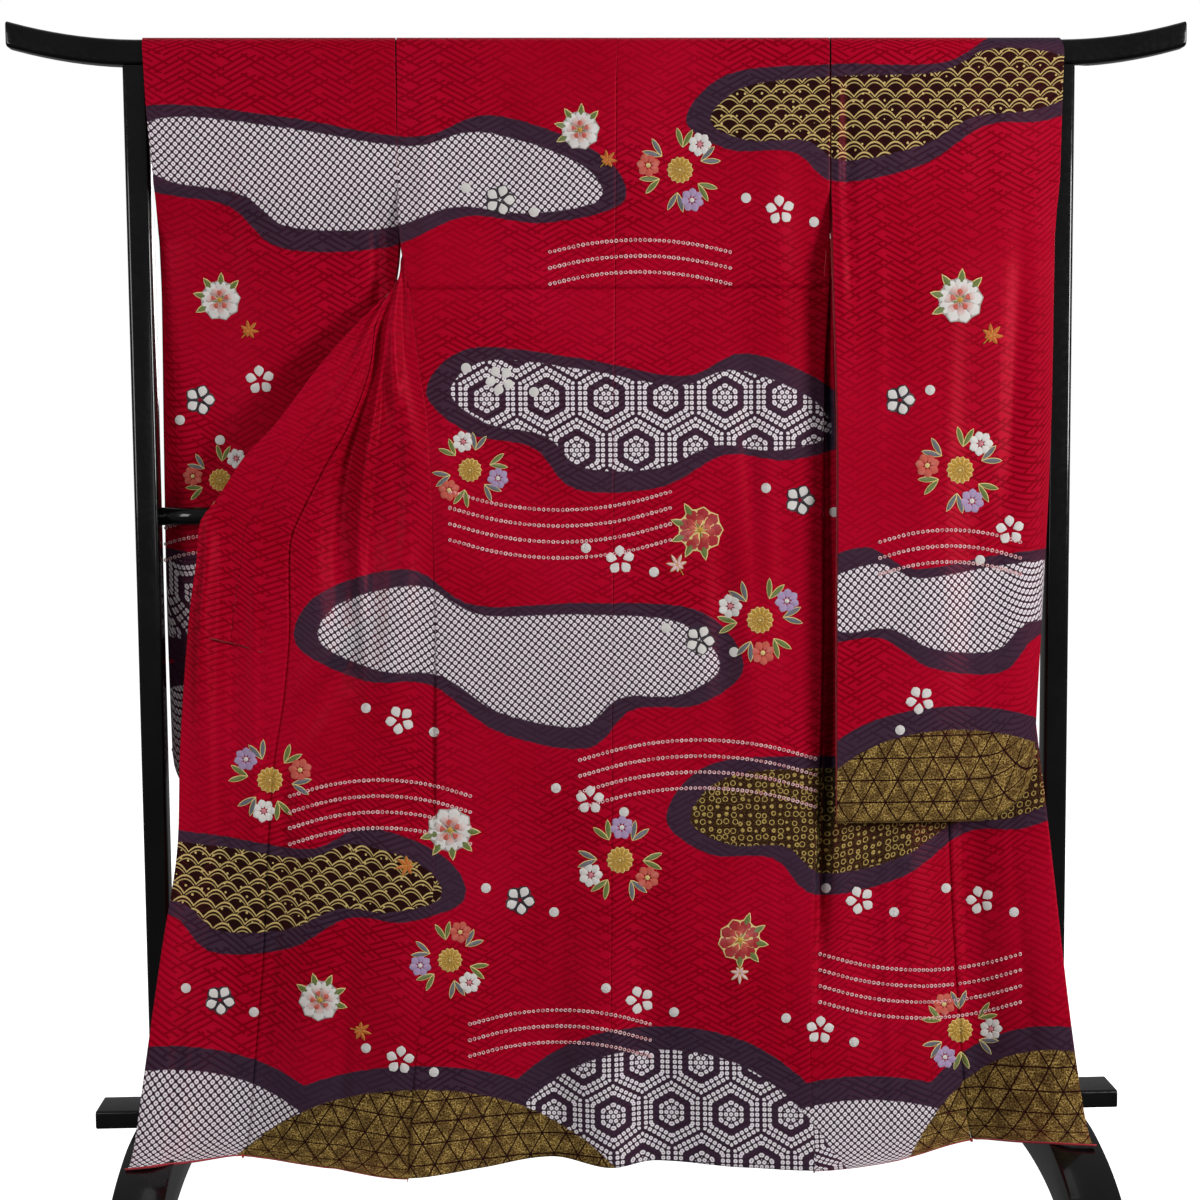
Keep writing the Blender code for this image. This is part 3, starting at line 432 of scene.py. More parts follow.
def front_out(table, side, u, at):
    """The direction that a front's outer side faces before its folds."""
    step = 0.004
    across = front_base(table, side, u + step, at) - front_base(table, side, u - step, at)
    start, end = np.maximum(at - step, 0.0), np.minimum(at + step, 1.0)
    down = front_base(table, side, u, end) - front_base(table, side, u, start)
    out = np.cross(across, down)
    out /= np.linalg.norm(out, axis=-1, keepdims=True)
    return out if side == "left" else -out


def front_relief(table, folds, creases, u, at):
    """How far a front's gathers and folds stand out."""
    wave = np.cos(2 * math.pi * PLEATS * u / (1.0 - GATHER_COLLAR))
    out = smooth(table, "gather", at) * wave * np.minimum(1.0, 6 * u)
    for fold in (*folds, *creases):
        share = np.clip((at - fold.at_top) / (fold.at_low - fold.at_top), 0.0, 1.0)
        middle = fold.u_top + (fold.u_low - fold.u_top) * share
        reach = window(at, fold.at_top, fold.at_low)
        out += fold.depth * bell(u - middle, fold.width) * reach * np.clip(60 * u, 0.0, 1.0)
    return out * calm_at_seams(table, u, at)


def front_surface(table, folds, creases, side, u, at):
    """Points of a front's outer face."""
    base = front_base(table, side, u, at)
    relief = front_relief(table, folds, creases, u, at)
    free = np.clip((at - 0.02) / 0.06, 0.0, 1.0) * np.minimum(1.0, 8 * u)
    calm = np.where((at > 0.22) & (at < 0.40), 0.25, 1.0)
    relief = relief + 0.0012 * ripple(base[..., 0], base[..., 2], 0.15, 9) * free * calm
    point = base + front_out(table, side, u, at) * relief[..., None]
    x, y, z = point[..., 0], point[..., 1], point[..., 2]
    low = np.clip((at - HEM_FROM) / (1.0 - HEM_FROM), 0.0, 1.0)
    y = y + hem_swing(x, z) * np.minimum(1.0, 3 * low)
    z = z + (smooth(HEM, "z", x) - z) * low**8
    return np.stack((x, y, z), axis=-1)


# Smaller creases than the solids have, in the same form as the folds.
BACK_CREASES = rows_of(
    FoldRow,
    (-0.252, -0.258, 1.700, 1.360, 0.009, 0.0022),
    (-0.100, -0.112, 1.500, 1.120, 0.012, 0.0012),
    (0.196, 0.222, 1.330, 0.760, 0.012, -0.0040),
    (0.228, 0.244, 1.290, 0.700, 0.013, 0.0034),
    (-0.238, -0.226, 1.345, 0.800, 0.014, 0.0034),
    (0.052, 0.040, 1.060, 0.420, 0.016, 0.0013),
    (-0.060, -0.090, 0.640, 0.060, 0.014, -0.0016),
    (0.180, 0.196, 0.520, 0.060, 0.013, 0.0020),
    (0.245, 0.262, 0.660, 0.060, 0.010, -0.0016),
    (-0.190, -0.225, 0.560, 0.060, 0.012, 0.0018),
)
LEFT_FRONT_CREASES = rows_of(
    FrontFold,
    (0.42, 0.27, 0.36, 0.74, 0.028, 0.0150),
    (0.52, 0.37, 0.36, 0.76, 0.055, -0.0150),
    (0.20, 0.14, 0.42, 0.70, 0.030, -0.0040),
    (0.22, 0.58, 0.62, 0.74, 0.060, 0.0100),
    (0.26, 0.62, 0.65, 0.78, 0.050, -0.0120),
    (0.97, 0.93, 0.56, 0.80, 0.022, 0.0070),
    (0.92, 0.84, 0.57, 0.84, 0.022, -0.0080),
    (0.85, 0.74, 0.59, 0.82, 0.025, 0.0060),
    (0.74, 0.66, 0.62, 0.84, 0.020, -0.0050),
    (0.60, 0.58, 0.72, 1.06, 0.018, -0.0060),
    (0.30, 0.26, 0.80, 1.06, 0.025, -0.0034),
    (0.84, 0.86, 0.74, 1.06, 0.030, -0.0070),
)
RIGHT_FRONT_CREASES = rows_of(
    FrontFold,
    (0.036, 0.034, 0.30, 0.90, 0.032, -0.0185),
    (0.036, 0.035, 0.30, 0.545, 0.032, -0.0260),
    (0.035, 0.034, 0.59, 0.92, 0.032, -0.0260),
    (0.30, 0.32, 0.74, 1.06, 0.022, 0.0024),
    (0.64, 0.62, 0.60, 1.06, 0.030, -0.0080),
    (0.84, 0.86, 0.74, 1.06, 0.020, -0.0020),
)
LEFT_SLEEVE_CREASES = rows_of(
    SleeveFold,
    (0.333, 0.331, 1.560, 1.150, 0.004, -0.0040),
    (0.318, 0.320, 1.480, 1.180, 0.003, 0.0030),
    (0.520, 0.510, 1.660, 1.250, 0.012, 0.0016),
    (0.410, 0.400, 1.600, 1.200, 0.010, -0.0014),
)
RIGHT_SLEEVE_CREASES = rows_of(
    SleeveFold,
    (0.345, 0.345, 1.660, 1.300, 0.0035, -0.0030),
    (0.392, 0.388, 1.600, 1.050, 0.010, 0.0018),
    (0.500, 0.480, 1.420, 0.800, 0.012, 0.0016),
    (0.570, 0.555, 1.200, 0.640, 0.010, -0.0018),
)


# The camera, and the places on the cloth that are given in pixels of its frame.
CAMERA_AT = (-0.126, -2.928, 1.146)
CAMERA_TURN = 0.0396
CAMERA_DOWN = 0.0848
CAMERA_ROLL = -0.008
CAMERA_LENS = 60.0
CAMERA_SENSOR = 36.0
FRAME_SIZE = 1200.0
# The plain hanging surface that the places lie on: y where it meets the floor, and its slope.
HANG_AT_FLOOR = -0.0675
HANG_SLOPE = 0.025


def camera_axes():
    forward = Vector((
        math.sin(CAMERA_TURN) * math.cos(CAMERA_DOWN),
        math.cos(CAMERA_TURN) * math.cos(CAMERA_DOWN),
        -math.sin(CAMERA_DOWN),
    ))
    level = Vector((math.cos(CAMERA_TURN), -math.sin(CAMERA_TURN), 0.0))
    upright = level.cross(forward)
    right = level * math.cos(CAMERA_ROLL) + upright * math.sin(CAMERA_ROLL)
    up = upright * math.cos(CAMERA_ROLL) - level * math.sin(CAMERA_ROLL)
    return right, up, forward


def place(points, depth=None):
    """Where points of the frame, in pixels, lie on the hanging cloth: (x, z) in metres."""
    right, up, forward = (np.array(axis) for axis in camera_axes())
    points = np.array(points, float).reshape(-1, 2)
    focal = CAMERA_LENS / CAMERA_SENSOR * FRAME_SIZE
    ray = (
        forward * focal
        + right * (points[:, :1] - FRAME_SIZE / 2)
        - up * (points[:, 1:] - FRAME_SIZE / 2)
    )
    y = np.full(len(points), -0.045 if depth is None else depth)
    for _ in range(4):
        far = (y - CAMERA_AT[1]) / ray[:, 1]
        z = CAMERA_AT[2] + far * ray[:, 2]
        if depth is None:
            y = HANG_AT_FLOOR + HANG_SLOPE * z
    return np.stack((CAMERA_AT[0] + far * ray[:, 0], z), axis=-1)


def as_seen(points, depth=None):
    """Points of the cloth, moved along the sight lines onto the plain hanging surface: (x, z)."""
    to = points - np.array(CAMERA_AT)
    level, slope = (HANG_AT_FLOOR, HANG_SLOPE) if depth is None else (depth, 0.0)
    share = (level + slope * CAMERA_AT[2] - CAMERA_AT[1]) / (to[..., 1] - slope * to[..., 2])
    x, z = CAMERA_AT[0] + share * to[..., 0], CAMERA_AT[2] + share * to[..., 2]
    clear = 0.0001
    z = np.where(points[..., 2] > TUCK_Z, np.maximum(z, TUCK_Z + clear), np.minimum(z, TUCK_Z - clear))
    return np.stack((x, z), axis=-1)


def land(cloth, x, z, depth=None):
    """Where the sight line through a place of the plain hanging surface meets the cloth."""
    y = HANG_AT_FLOOR + HANG_SLOPE * z if depth is None else depth
    start = Vector(CAMERA_AT)
    return cloth.ray_cast(start, (Vector((x, y, z)) - start).normalized())


def closed_curve(points, steps=8):
    """A smooth closed curve through a few points."""
    p = np.array(points, float)
    before, after, beyond = np.roll(p, 1, 0), np.roll(p, -1, 0), np.roll(p, -2, 0)
    out = []
    for t in np.linspace(0.0, 1.0, steps, endpoint=False):
        out.append(0.5 * (
            2 * p + (after - before) * t + (2 * before - 5 * p + 4 * after - beyond) * t**2
            + (3 * p - before - 3 * after + beyond) * t**3
        ))
    return np.stack(out, axis=1).reshape(-1, 2)


def open_curve(points, steps=12):
    """A smooth open curve through a few points."""
    p = np.array(points, float)
    p = np.concatenate((2 * p[:1] - p[1:2], p, 2 * p[-1:] - p[-2:-1]))
    out = []
    for i in range(1, len(p) - 2):
        for t in np.linspace(0.0, 1.0, steps, endpoint=False):
            out.append(0.5 * (
                2 * p[i] + (p[i + 1] - p[i - 1]) * t
                + (2 * p[i - 1] - 5 * p[i] + 4 * p[i + 1] - p[i + 2]) * t**2
                + (3 * p[i] - p[i - 1] - 3 * p[i + 1] + p[i + 2]) * t**3
            ))
    out.append(p[-2])
    return np.array(out)


def depth_inside(points, outline):
    """How far inside a closed outline each point lies, in metres; negative outside."""
    start, end = outline, np.roll(outline, -1, 0)
    run = end - start
    length = np.maximum((run**2).sum(1), 1e-12)
    nearest = np.full(len(points), 1e9)
    crossings = np.zeros(len(points), int)
    for s, r, l, e in zip(start, run, length, end):
        to = points - s
        t = np.clip((to @ r) / l, 0.0, 1.0)
        nearest = np.minimum(nearest, ((to - t[:, None] * r) ** 2).sum(1))
        spans = (s[1] > points[:, 1]) != (e[1] > points[:, 1])
        if abs(r[1]) > 1e-12:
            crossings += spans & (points[:, 0] < s[0] + (points[:, 1] - s[1]) * r[0] / r[1])
    return np.sqrt(nearest) * np.where(crossings % 2 == 1, 1.0, -1.0)


# The dyed fields are bands of mist and rounded hills, laid out by rule, in pixels of the frame.
Field = namedtuple("Field", "dye above_tuck outline")
MIST = (
    (-1.0, 0.0), (-0.8, -0.5), (-0.3, -0.5), (0.2, -0.4), (0.5, -0.7), (0.9, -0.4), (1.0, 0.1), (0.7, 0.4),
    (0.4, 0.4), (0.1, 0.8), (-0.3, 0.9), (-0.5, 0.5), (-0.8, 0.4),
)
HILL = ((-1.0, 0.2), (-0.9, -0.35), (-0.5, -0.85), (0.0, -1.0), (0.5, -0.85), (0.9, -0.35), (1.0, 0.2))
BORDER = 24


def mist(dye, x, y, reach, rise, slope, above_tuck=False):
    """A stepped band of mist, and the dark border round it."""
    def band(grow):
        wide = math.copysign(abs(reach) + grow, reach)
        return tuple((x + wide * a, y + (rise + grow) * b + slope * a) for a, b in MIST)
    return Field("river", above_tuck, band(BORDER)), Field(dye, above_tuck, band(0))


def hill(dye, x, base, reach, rise):
    """A rounded hill that stands on a hem, and the dark border over it."""
    def dome(grow):
        return tuple((x + (reach + grow) * a, base + (rise + grow) * b) for a, b in HILL)
    return Field("river", False, dome(BORDER)), Field(dye, False, dome(0))


SHOULDER_FIELDS = (
    *mist("kanoko", 360, 170, 240, 70, 22, True), *mist("waves", 900, 100, 190, 60, -20, True),
)
BODY_FIELDS = (
    *SHOULDER_FIELDS,
    *mist("kikko", 640, 410, 190, 70, 18), *mist("kanoko", 520, 650, -200, 80, -16),
    *mist("rings", 880, 800, 190, 75, -18), *mist("waves", 270, 880, 170, 60, 12),
    *hill("kanoko", 170, 1200, 190, 130), *hill("lattice", 420, 1200, 210, 110),
    *hill("kikko", 660, 1200, 190, 150), *hill("kanoko", 870, 1200, 170, 100),
    *hill("lattice", 1050, 1200, 150, 150),
)
LEFT_SLEEVE_FIELDS = (
    *SHOULDER_FIELDS, *mist("kikko", 210, 590, 130, 55, 10), *hill("kanoko", 230, 800, 170, 120),
)
RIGHT_SLEEVE_FIELDS = (
    *SHOULDER_FIELDS, *mist("kanoko", 950, 600, -150, 60, 12), *hill("lattice", 960, 870, 190, 140),
)
DYES = ("river", "kanoko", "rings", "waves", "kikko", "lattice")
FAR_OUT = -0.5


def field_depths(fields, design, depth):
    """For each dye, how far inside its fields every point of the design lies."""
    out = {dye: np.full(len(design), FAR_OUT) for dye in DYES}
    above = design[:, 1] > TUCK_Z
    for field in fields:
        inside = depth_inside(design, closed_curve(place(field.outline, depth)))
        inside = np.where(above == field.above_tuck, inside, FAR_OUT)
        out[field.dye] = np.maximum(out[field.dye], inside)
    return out


def finish_piece(piece, slot, *nodes):
    """The words that every finished piece needs."""
    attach(piece, ROOT)
    if nodes:
        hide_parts(*nodes)
    return piece


def turned_in(points, flip, start, end):
    """The grid with its sewn edges turned in, as a seam allowance is."""
    down = np.gradient(points, axis=0)
    across = np.gradient(points, axis=1)
    out = np.cross(across, down)
    out *= (-1.0 if flip else 1.0) / np.maximum(np.linalg.norm(out, axis=-1, keepdims=True), 1e-12)
    pressed = np.array((SEAM_PRESSED, 0.0, 0.0))
    reaches = SEAM_ALLOWANCE, SEAM_ROLL
    first = [points[:, :1] - (out[:, 5:6] + pressed) * reach for reach in reaches]
    last = [points[:, -1:] - (out[:, -6:-5] + pressed) * reach for reach in reversed(reaches)]
    return np.concatenate((*first * start, points, *last * end), axis=1)


def beside(values, start, end):
    """Repeats a grid's first and last columns for the edges that turn in."""
    columns = [values[:, :1]] * (2 * start) + [values] + [values[:, -1:]] * (2 * end)
    return np.concatenate(columns, axis=1)


def make_sheet(name, points, weave, design, fields, depth, closed=False, flip=False, seams=(False, False)):
    """A grid of points as cloth with a patterned outside and a plain lining."""
    points = turned_in(points, flip, *seams)
    weave, design = beside(weave, *seams), beside(design, *seams)
    rows, columns = points.shape[:2]
    index = np.arange(rows * columns).reshape(rows, columns)
    low = np.roll(index, -1, 0) if closed else index[1:]
    top = index if closed else index[:-1]
    quads = np.stack((top[:, :-1], top[:, 1:], low[:, 1:], low[:, :-1]), axis=-1).reshape(-1, 4)
    if flip:
        quads = quads[:, ::-1]
    mesh = bpy.data.meshes.new(name)
    mesh.from_pydata(points.reshape(-1, 3).tolist(), [], quads.tolist())
    corner_points = np.empty(len(mesh.loops), int)
    mesh.loops.foreach_get("vertex_index", corner_points)
    for label, values in (("weave", weave), ("design", design)):
        layer = mesh.uv_layers.new(name=label)
        layer.uv.foreach_set("vector", values.reshape(-1, 2)[corner_points].ravel())
    for dye, values in field_depths(fields, design.reshape(-1, 2), depth).items():
        attribute = mesh.attributes.new(dye, "FLOAT", "POINT")
        attribute.data.foreach_set("value", values)
    mesh.materials.append(DYED_SILK)
    mesh.materials.append(LINING_SILK)
    mesh.shade_smooth()
    piece = bpy.data.objects.new("silk_" + name, mesh)
    bpy.context.scene.collection.objects.link(piece)
    wall = piece.modifiers.new("thickness", "SOLIDIFY")
    wall.thickness = CLOTH_THICK
    wall.offset = -1.0
    wall.material_offset = 1
    wall.material_offset_rim = 1
    return piece


def columns_across(width, step=0.006):
    """Shares across a panel, closer together beside its two seams."""
    near = np.array([0.0, 0.0012, 0.0026, 0.0045, 0.0070]) / width
    count = max(3, round(width / step))
    middle = np.linspace(near[-1], 1.0 - near[-1], count)
    return np.concatenate((near[:-1], middle, 1.0 - near[-2::-1]))


def seam_dip(share, width, depths):
    """The cloth turns in beside its seams."""
    first, last = (0.0011 + 0.4 * depth for depth in depths)
    return depths[0] * np.exp(-share * width / first) + depths[1] * np.exp(-(1.0 - share) * width / last)


WIDTH = 0.305
BODY_SHARES = columns_across(WIDTH)
BACK_LEVELS = np.unique(np.concatenate((
    np.linspace(HEM_LEVEL, HEM_LEVEL + 0.012, 6),
    np.linspace(HEM_LEVEL + 0.018, TUCK_Z - 0.014, 205),
    TUCK_Z + np.array([-0.011, -0.008, -0.006, -0.004, -0.002, -0.0003, 0.0003, 0.002, 0.005, 0.009]),
    np.linspace(TUCK_Z + 0.014, WRAP_Z, 54),
)))
FRONT_AT = np.unique(np.concatenate((
    np.linspace(0.0, 0.27, 60), np.linspace(0.27, 0.48, 80), np.linspace(0.48, 0.985, 120),
    np.linspace(0.985, 1.0, 7), [COLLAR_END - 0.0006, COLLAR_END - 0.0001, COLLAR_END + 0.0001],
)))


def back_part(side, sign):
    """The back from its hem to the bar: points and weave."""
    u = BODY_SHARES[None, :]
    level = BACK_LEVELS[:, None]
    z = level + np.zeros_like(u)
    for _ in range(3):
        edge = smooth(SIDE_SEAMS, side, z) - sign * SEAM_GAP / 2
        inner = centre_x(z) + sign * SEAM_GAP / 2
        x = edge + (inner - edge) * u
        fade = np.clip(1.0 - (level - HEM_LEVEL) / HEM_BLEND, 0.0, None)
        z = level + (smooth(HEM, "z", x) - HEM_LEVEL) * fade
    free = np.clip((WRAP_Z - 0.010 - z) / 0.030, 0.0, 1.0)
    centre_dip = 0.0014 if side == "left" else 0.0003
    y = back_y(x, z) + seam_dip(u, WIDTH, (SEAM_DIP, centre_dip)) * free
    points = np.stack((x, y, z), axis=-1)
    weave = np.stack((x, z), axis=-1)
    return points, weave


def bar_part(side, sign):
    """The strip over the bar, cut back from the neck."""
    along = np.concatenate((np.linspace(0.004, 0.0147, 4), np.linspace(0.0150, 0.0300, 12),
                            np.linspace(0.033, 0.0687, 12)))
    out = np.where(along < NECK[0].seam_along, 0.0, smooth(NECK, "seam_out", along, key=1))
    edge = smooth(SIDE_SEAMS, side, np.array(WRAP_Z)) - sign * SEAM_GAP / 2
    inner = (centre_x(WRAP_Z) + sign * (out + SEAM_GAP / 2))[:, None]
    x = edge + (inner - edge) * BODY_SHARES[None, :]
    y, z = over_bar(along[:, None] + np.zeros_like(x))
    weave = np.stack((x, WRAP_Z + along[:, None] + np.zeros_like(x)), axis=-1)
    return np.stack((x, y, z), axis=-1), weave


Front = namedtuple("Front", "table folds creases side sign")
LEFT = Front(LEFT_FRONT, LEFT_FRONT_FOLDS, LEFT_FRONT_CREASES, "left", -1)
RIGHT = Front(RIGHT_FRONT, RIGHT_FRONT_FOLDS, RIGHT_FRONT_CREASES, "right", 1)


def front_length(front, at):
    """The length down the middle of a front from the shoulder."""
    rows = np.linspace(0.0, 1.0, 101)
    middle = front_base(front.table, front.side, np.full_like(rows, 0.5), rows)
    steps = np.linalg.norm(np.diff(middle, axis=0), axis=1)
    return np.interp(at, rows, np.concatenate(([0.0], np.cumsum(steps))))


def front_part(front, rows_at, start, end, shares, width, dips):
    """Part of a front between two shares of its rows: points and weave."""
    at = rows_at[:, None]
    gap = 0.0002
    first = np.where(start > 0.0, gap, -0.0025)
    u = (start + first)[:, None] + (end - start - first - gap)[:, None] * shares[None, :]
    at = at + np.zeros_like(u)
    points = front_surface(front.table, front.folds, front.creases, front.side, u, at)
    inward = front_out(front.table, front.side, u, at)
    free = np.clip((at - 0.03) / 0.04, 0.0, 1.0)
    points = points - inward * (seam_dip(shares[None, :], width, dips) * free)[..., None]
    side_end, front_end = (
        front_base(front.table, front.side, np.full_like(at[:, :1], share), at[:, :1])
        for share in (0.0, 1.0)
    )
    row_width = np.linalg.norm(front_end - side_end, axis=-1)
    weave = np.stack((u * row_width * -front.sign, -front_length(front, at)), axis=-1)
    return points, weave


def front_design(front, rows_at, start, end, shares):
    at = rows_at[:, None]
    u = start[:, None] + (end - start)[:, None] * shares[None, :]
    at = at + np.zeros_like(u)
    return as_seen(front_surface(front.table, front.folds, front.creases, front.side, u, at))


def make_body(name, front):
    back, back_weave = back_part(front.side, front.sign)
    bar, bar_weave = bar_part(front.side, front.sign)
    none = np.zeros(len(FRONT_AT))
    seam = smooth(front.table, "overlap", FRONT_AT)
    low, low_weave = front_part(front, FRONT_AT, none, seam, BODY_SHARES, WIDTH, (SEAM_DIP, OVERLAP_DIP))
    low_design = front_design(front, FRONT_AT, none, seam, BODY_SHARES)
    design = np.concatenate((as_seen(back), as_seen(bar), low_design))
    points = np.concatenate((back, bar, low))
    weave = np.concatenate((back_weave, bar_weave, low_weave))
    flip = front.sign > 0
    piece = make_sheet(name, points, weave, design, BODY_FIELDS, None, flip=flip, seams=(True, True))
    finish_piece(piece, "crimson_silk", name)
    return piece


def make_overlap(name, front):
    rows = FRONT_AT[FRONT_AT > OVERLAP_START]
    start = smooth(front.table, "overlap", rows)
    end = np.where(rows <= COLLAR_END, 1.0 - smooth(front.table, "collar", rows), 1.0)
    shares = columns_across(OVERLAP_WIDTH)
    points, weave = front_part(front, rows, start, end, shares, OVERLAP_WIDTH, (OVERLAP_DIP, FREE_DIP))
    design = front_design(front, rows, start, end, shares)
    flip = front.sign > 0
    piece = make_sheet(name, points, weave, design, BODY_FIELDS, None, flip=flip, seams=(True, False))
    finish_piece(piece, "crimson_silk", name)
    return piece


def collar_side(front):
    rows = FRONT_AT[FRONT_AT < COLLAR_END]
    start = 1.0 - smooth(front.table, "collar", rows)
    shares = columns_across(COLLAR_WIDTH)
    end = np.ones(len(rows))
    points, weave = front_part(front, rows, start, end, shares, COLLAR_WIDTH, (SEAM_DIP, 0.0))
    return points, weave, front_design(front, rows, start, end, shares)


def neck_part():
    """The collar round the neck, from the left side to the right."""
    steps = np.linspace(0.0, len(NECK) - 1, 26)
    numbers = np.arange(len(NECK))
    seam_out, seam_along, free_out, free_along = (
        np.interp(steps, numbers, [getattr(row, column) for row in NECK]) for column in NeckRow._fields
    )
    shares = columns_across(COLLAR_WIDTH)[None, :]
    along = (seam_along + SEAM_GAP)[:, None] + (free_along - seam_along - SEAM_GAP)[:, None] * shares
    out = seam_out[:, None] + (free_out - seam_out)[:, None] * shares
    y, z = over_bar(along)
    right = np.stack((centre_x(WRAP_Z) + out, y, z), axis=-1)
    left = np.stack((centre_x(WRAP_Z) - out, y, z), axis=-1)
    return np.concatenate((left[::-1], right[1:]))


def make_collar():
    left, left_weave, left_design = collar_side(LEFT)
    right, right_weave, right_design = collar_side(RIGHT)
    neck = neck_part()
    neck_weave = np.stack((neck[..., 0] * 0.5, neck[..., 2] + neck[..., 1]), axis=-1)
    piece = make_sheet(
        "collar",
        np.concatenate((left[::-1], neck, right)),
        np.concatenate((left_weave[::-1], neck_weave, right_weave)),
        np.concatenate((left_design[::-1], as_seen(neck), right_design)),
        BODY_FIELDS, None, flip=True, seams=(True, False),
    )
    finish_piece(piece, "crimson_silk", "collar")
    return piece


def sleeve_layer(table, folds, u, z, layer, bottom, sign):
    inner = smooth(table, "inner", z)
    x = inner + (smooth(table, "outer_" + layer, z) - inner) * u
    near, far = smooth(table, "near_y", z), smooth(table, "far_y", z)
    middle, half = (near + far) / 2, (far - near) / 2
    width = table[-1].outer_near - table[-1].inner
    sewn_side = 1.0 - np.exp(-(1.0 - u) * width / 0.05)
    above_cuff = np.clip((z - CUFF_LOW_Z + 0.04) / 0.08, 0.0, 1.0)
    sewn_side += (1.0 - sewn_side) * above_cuff
    sewn_bottom = 1.0 - np.exp(-(z - bottom) / 0.06)
    half = SEWN_GAP / 2 + (half - SEWN_GAP / 2) * sewn_side * sewn_bottom
    free = np.clip((WRAP_Z - 0.020 - z) / 0.040, 0.0, 1.0)
    y = middle + (half if layer == "far" else -half)
    y = y - (folds_at(folds, x, z) + 0.0012 * ripple(x, z, 0.15, 3)) * free
    return np.stack((sign * x, y, z), axis=-1)


def make_sleeve(name, table, folds, sign, fields, depth):
    """Rings over the bar and round the bottom, closed along the sewn edge below the cuff."""
    width = table[-1].outer_near - table[-1].inner
    u = columns_across(width)
    into = np.maximum(0.0, SLEEVE_CORNER - (1.0 - u) * width)
    drop = np.sqrt(np.maximum(SLEEVE_CORNER**2 - into**2, 0.0))
    bottom = table[-1].z + SLEEVE_CORNER - drop + SEWN_GAP / 2
    rise = np.concatenate((np.linspace(0.0, 0.012, 4), np.linspace(0.018, 1.0, 182)))[:, None]
    z = bottom[None, :] + (WRAP_Z - bottom)[None, :] * rise
    u = u[None, :] + np.zeros_like(z)
    low = bottom[None, :] + np.zeros_like(z)
    near = sleeve_layer(table, folds, u, z, "near", low, sign)
    far = sleeve_layer(table, folds, u, z, "far", low, sign)[::-1]
    along = np.linspace(0.0, WRAP, 22)[1:-1, None] + np.zeros_like(u[:1])
    outer = table[0].outer_near + (table[0].outer_far - table[0].outer_near) * along / WRAP
    y, over_z = over_bar(along)
    over = np.stack((sign * (table[0].inner + (outer - table[0].inner) * u[:1]), y, over_z), axis=-1)
    turn = np.linspace(0.0, math.pi, 7)[1:-1, None]
    reach = (far[-1, :, 1] - near[0, :, 1])[None, :] / 2
    middle = (far[-1, :, 1] + near[0, :, 1])[None, :] / 2
    round_y = middle + reach * np.cos(turn)
    round_z = near[0, :, 2][None, :] - reach * np.sin(turn)
    under = np.stack((near[0, :, 0][None, :] + np.zeros_like(round_y), round_y, round_z), axis=-1)
    points = np.concatenate((near, over, far, under))
    length = np.arange(len(points))[:, None] * SLEEVE_LENGTH / len(points) + np.zeros_like(points[..., 0])
    weave = np.stack((points[..., 0], length), axis=-1)
    design = as_seen(points, depth)
    sewn = close_edge(points)
    points = np.concatenate((points, sewn), axis=1)
    weave = np.concatenate((weave, weave[:, -1:]), axis=1)
    design = np.concatenate((design, design[:, -1:]), axis=1)
    piece = make_sheet(name, points, weave, design, fields, depth, closed=True, flip=sign < 0)
    finish_piece(piece, "crimson_silk", name)
    return piece


def close_edge(points):
    """One more column: it brings the two layers together at the sewn edge, and keeps the cuff open."""
    edge, before = points[:, -1], points[:, -2]
    out = edge + (edge - before) * 0.6
    middle_y = (points[:, -1, 1] + mirror_rows(points[:, -1, 1], points[:, -1, 2])) / 2
    sewn = 1.0 - np.clip((points[:, -1, 2] - CUFF_LOW_Z + 0.05) / 0.02, 0.0, 1.0)
    out[:, 1] = out[:, 1] * (1.0 - sewn) + middle_y * sewn
    return out[:, None, :]


def mirror_rows(values, z):
    """The value at the same height on a ring's other layer."""
    top = int(np.argmax(z))
    first = np.arange(len(z)) <= top
    order = np.argsort(z)
    front_rows = order[first[order]]
    rear_rows = order[~first[order]]
    front_values = np.interp(z, z[front_rows], values[front_rows])
    rear_values = np.interp(z, z[rear_rows], values[rear_rows])
    return np.where(first, rear_values, front_values)


# Materials. Colours are sRGB hex values.
def colour(hex_value):
    parts = [int(hex_value[i:i + 2], 16) / 255 for i in (1, 3, 5)]
    linear = [c / 12.92 if c <= 0.04045 else ((c + 0.055) / 1.055) ** 2.4 for c in parts]
    return (*linear, 1.0)


class Shades:
    """A material's node tree. Its calls add nodes."""

    def __init__(self, name, **sockets):
        self.material = bpy.data.materials.new(name)
        self.material.use_nodes = True
        self.tree = self.material.node_tree
        self.shader = self.tree.nodes["Principled BSDF"]
        for label, value in sockets.items():
            self.shader.inputs[label.replace("_", " ")].default_value = value

    def add(self, kind, *links, out=0, ramp=(), **settings):
        """Adds a node with its settings. Links and values go into its sockets in order."""
        node = self.tree.nodes.new("ShaderNode" + kind)
        for setting, value in settings.items():
            setattr(node, setting, value)
        for socket, link in zip(node.inputs, links):
            if isinstance(link, bpy.types.NodeSocket):
                self.tree.links.new(link, socket)
            elif link is not None:
                socket.default_value = link
        for i, (position, hex_value) in enumerate(ramp):
            stops = node.color_ramp.elements
            stop = stops.new(position) if 0 < i < len(ramp) - 1 else stops[-1 if i else 0]
            stop.position = position
            stop.color = colour(hex_value)
        return node.outputs[out]

    def finish(self, **links):
        for label, link in links.items():
            self.tree.links.new(link, self.shader.inputs[label.replace("_", " ")])
        return self.material


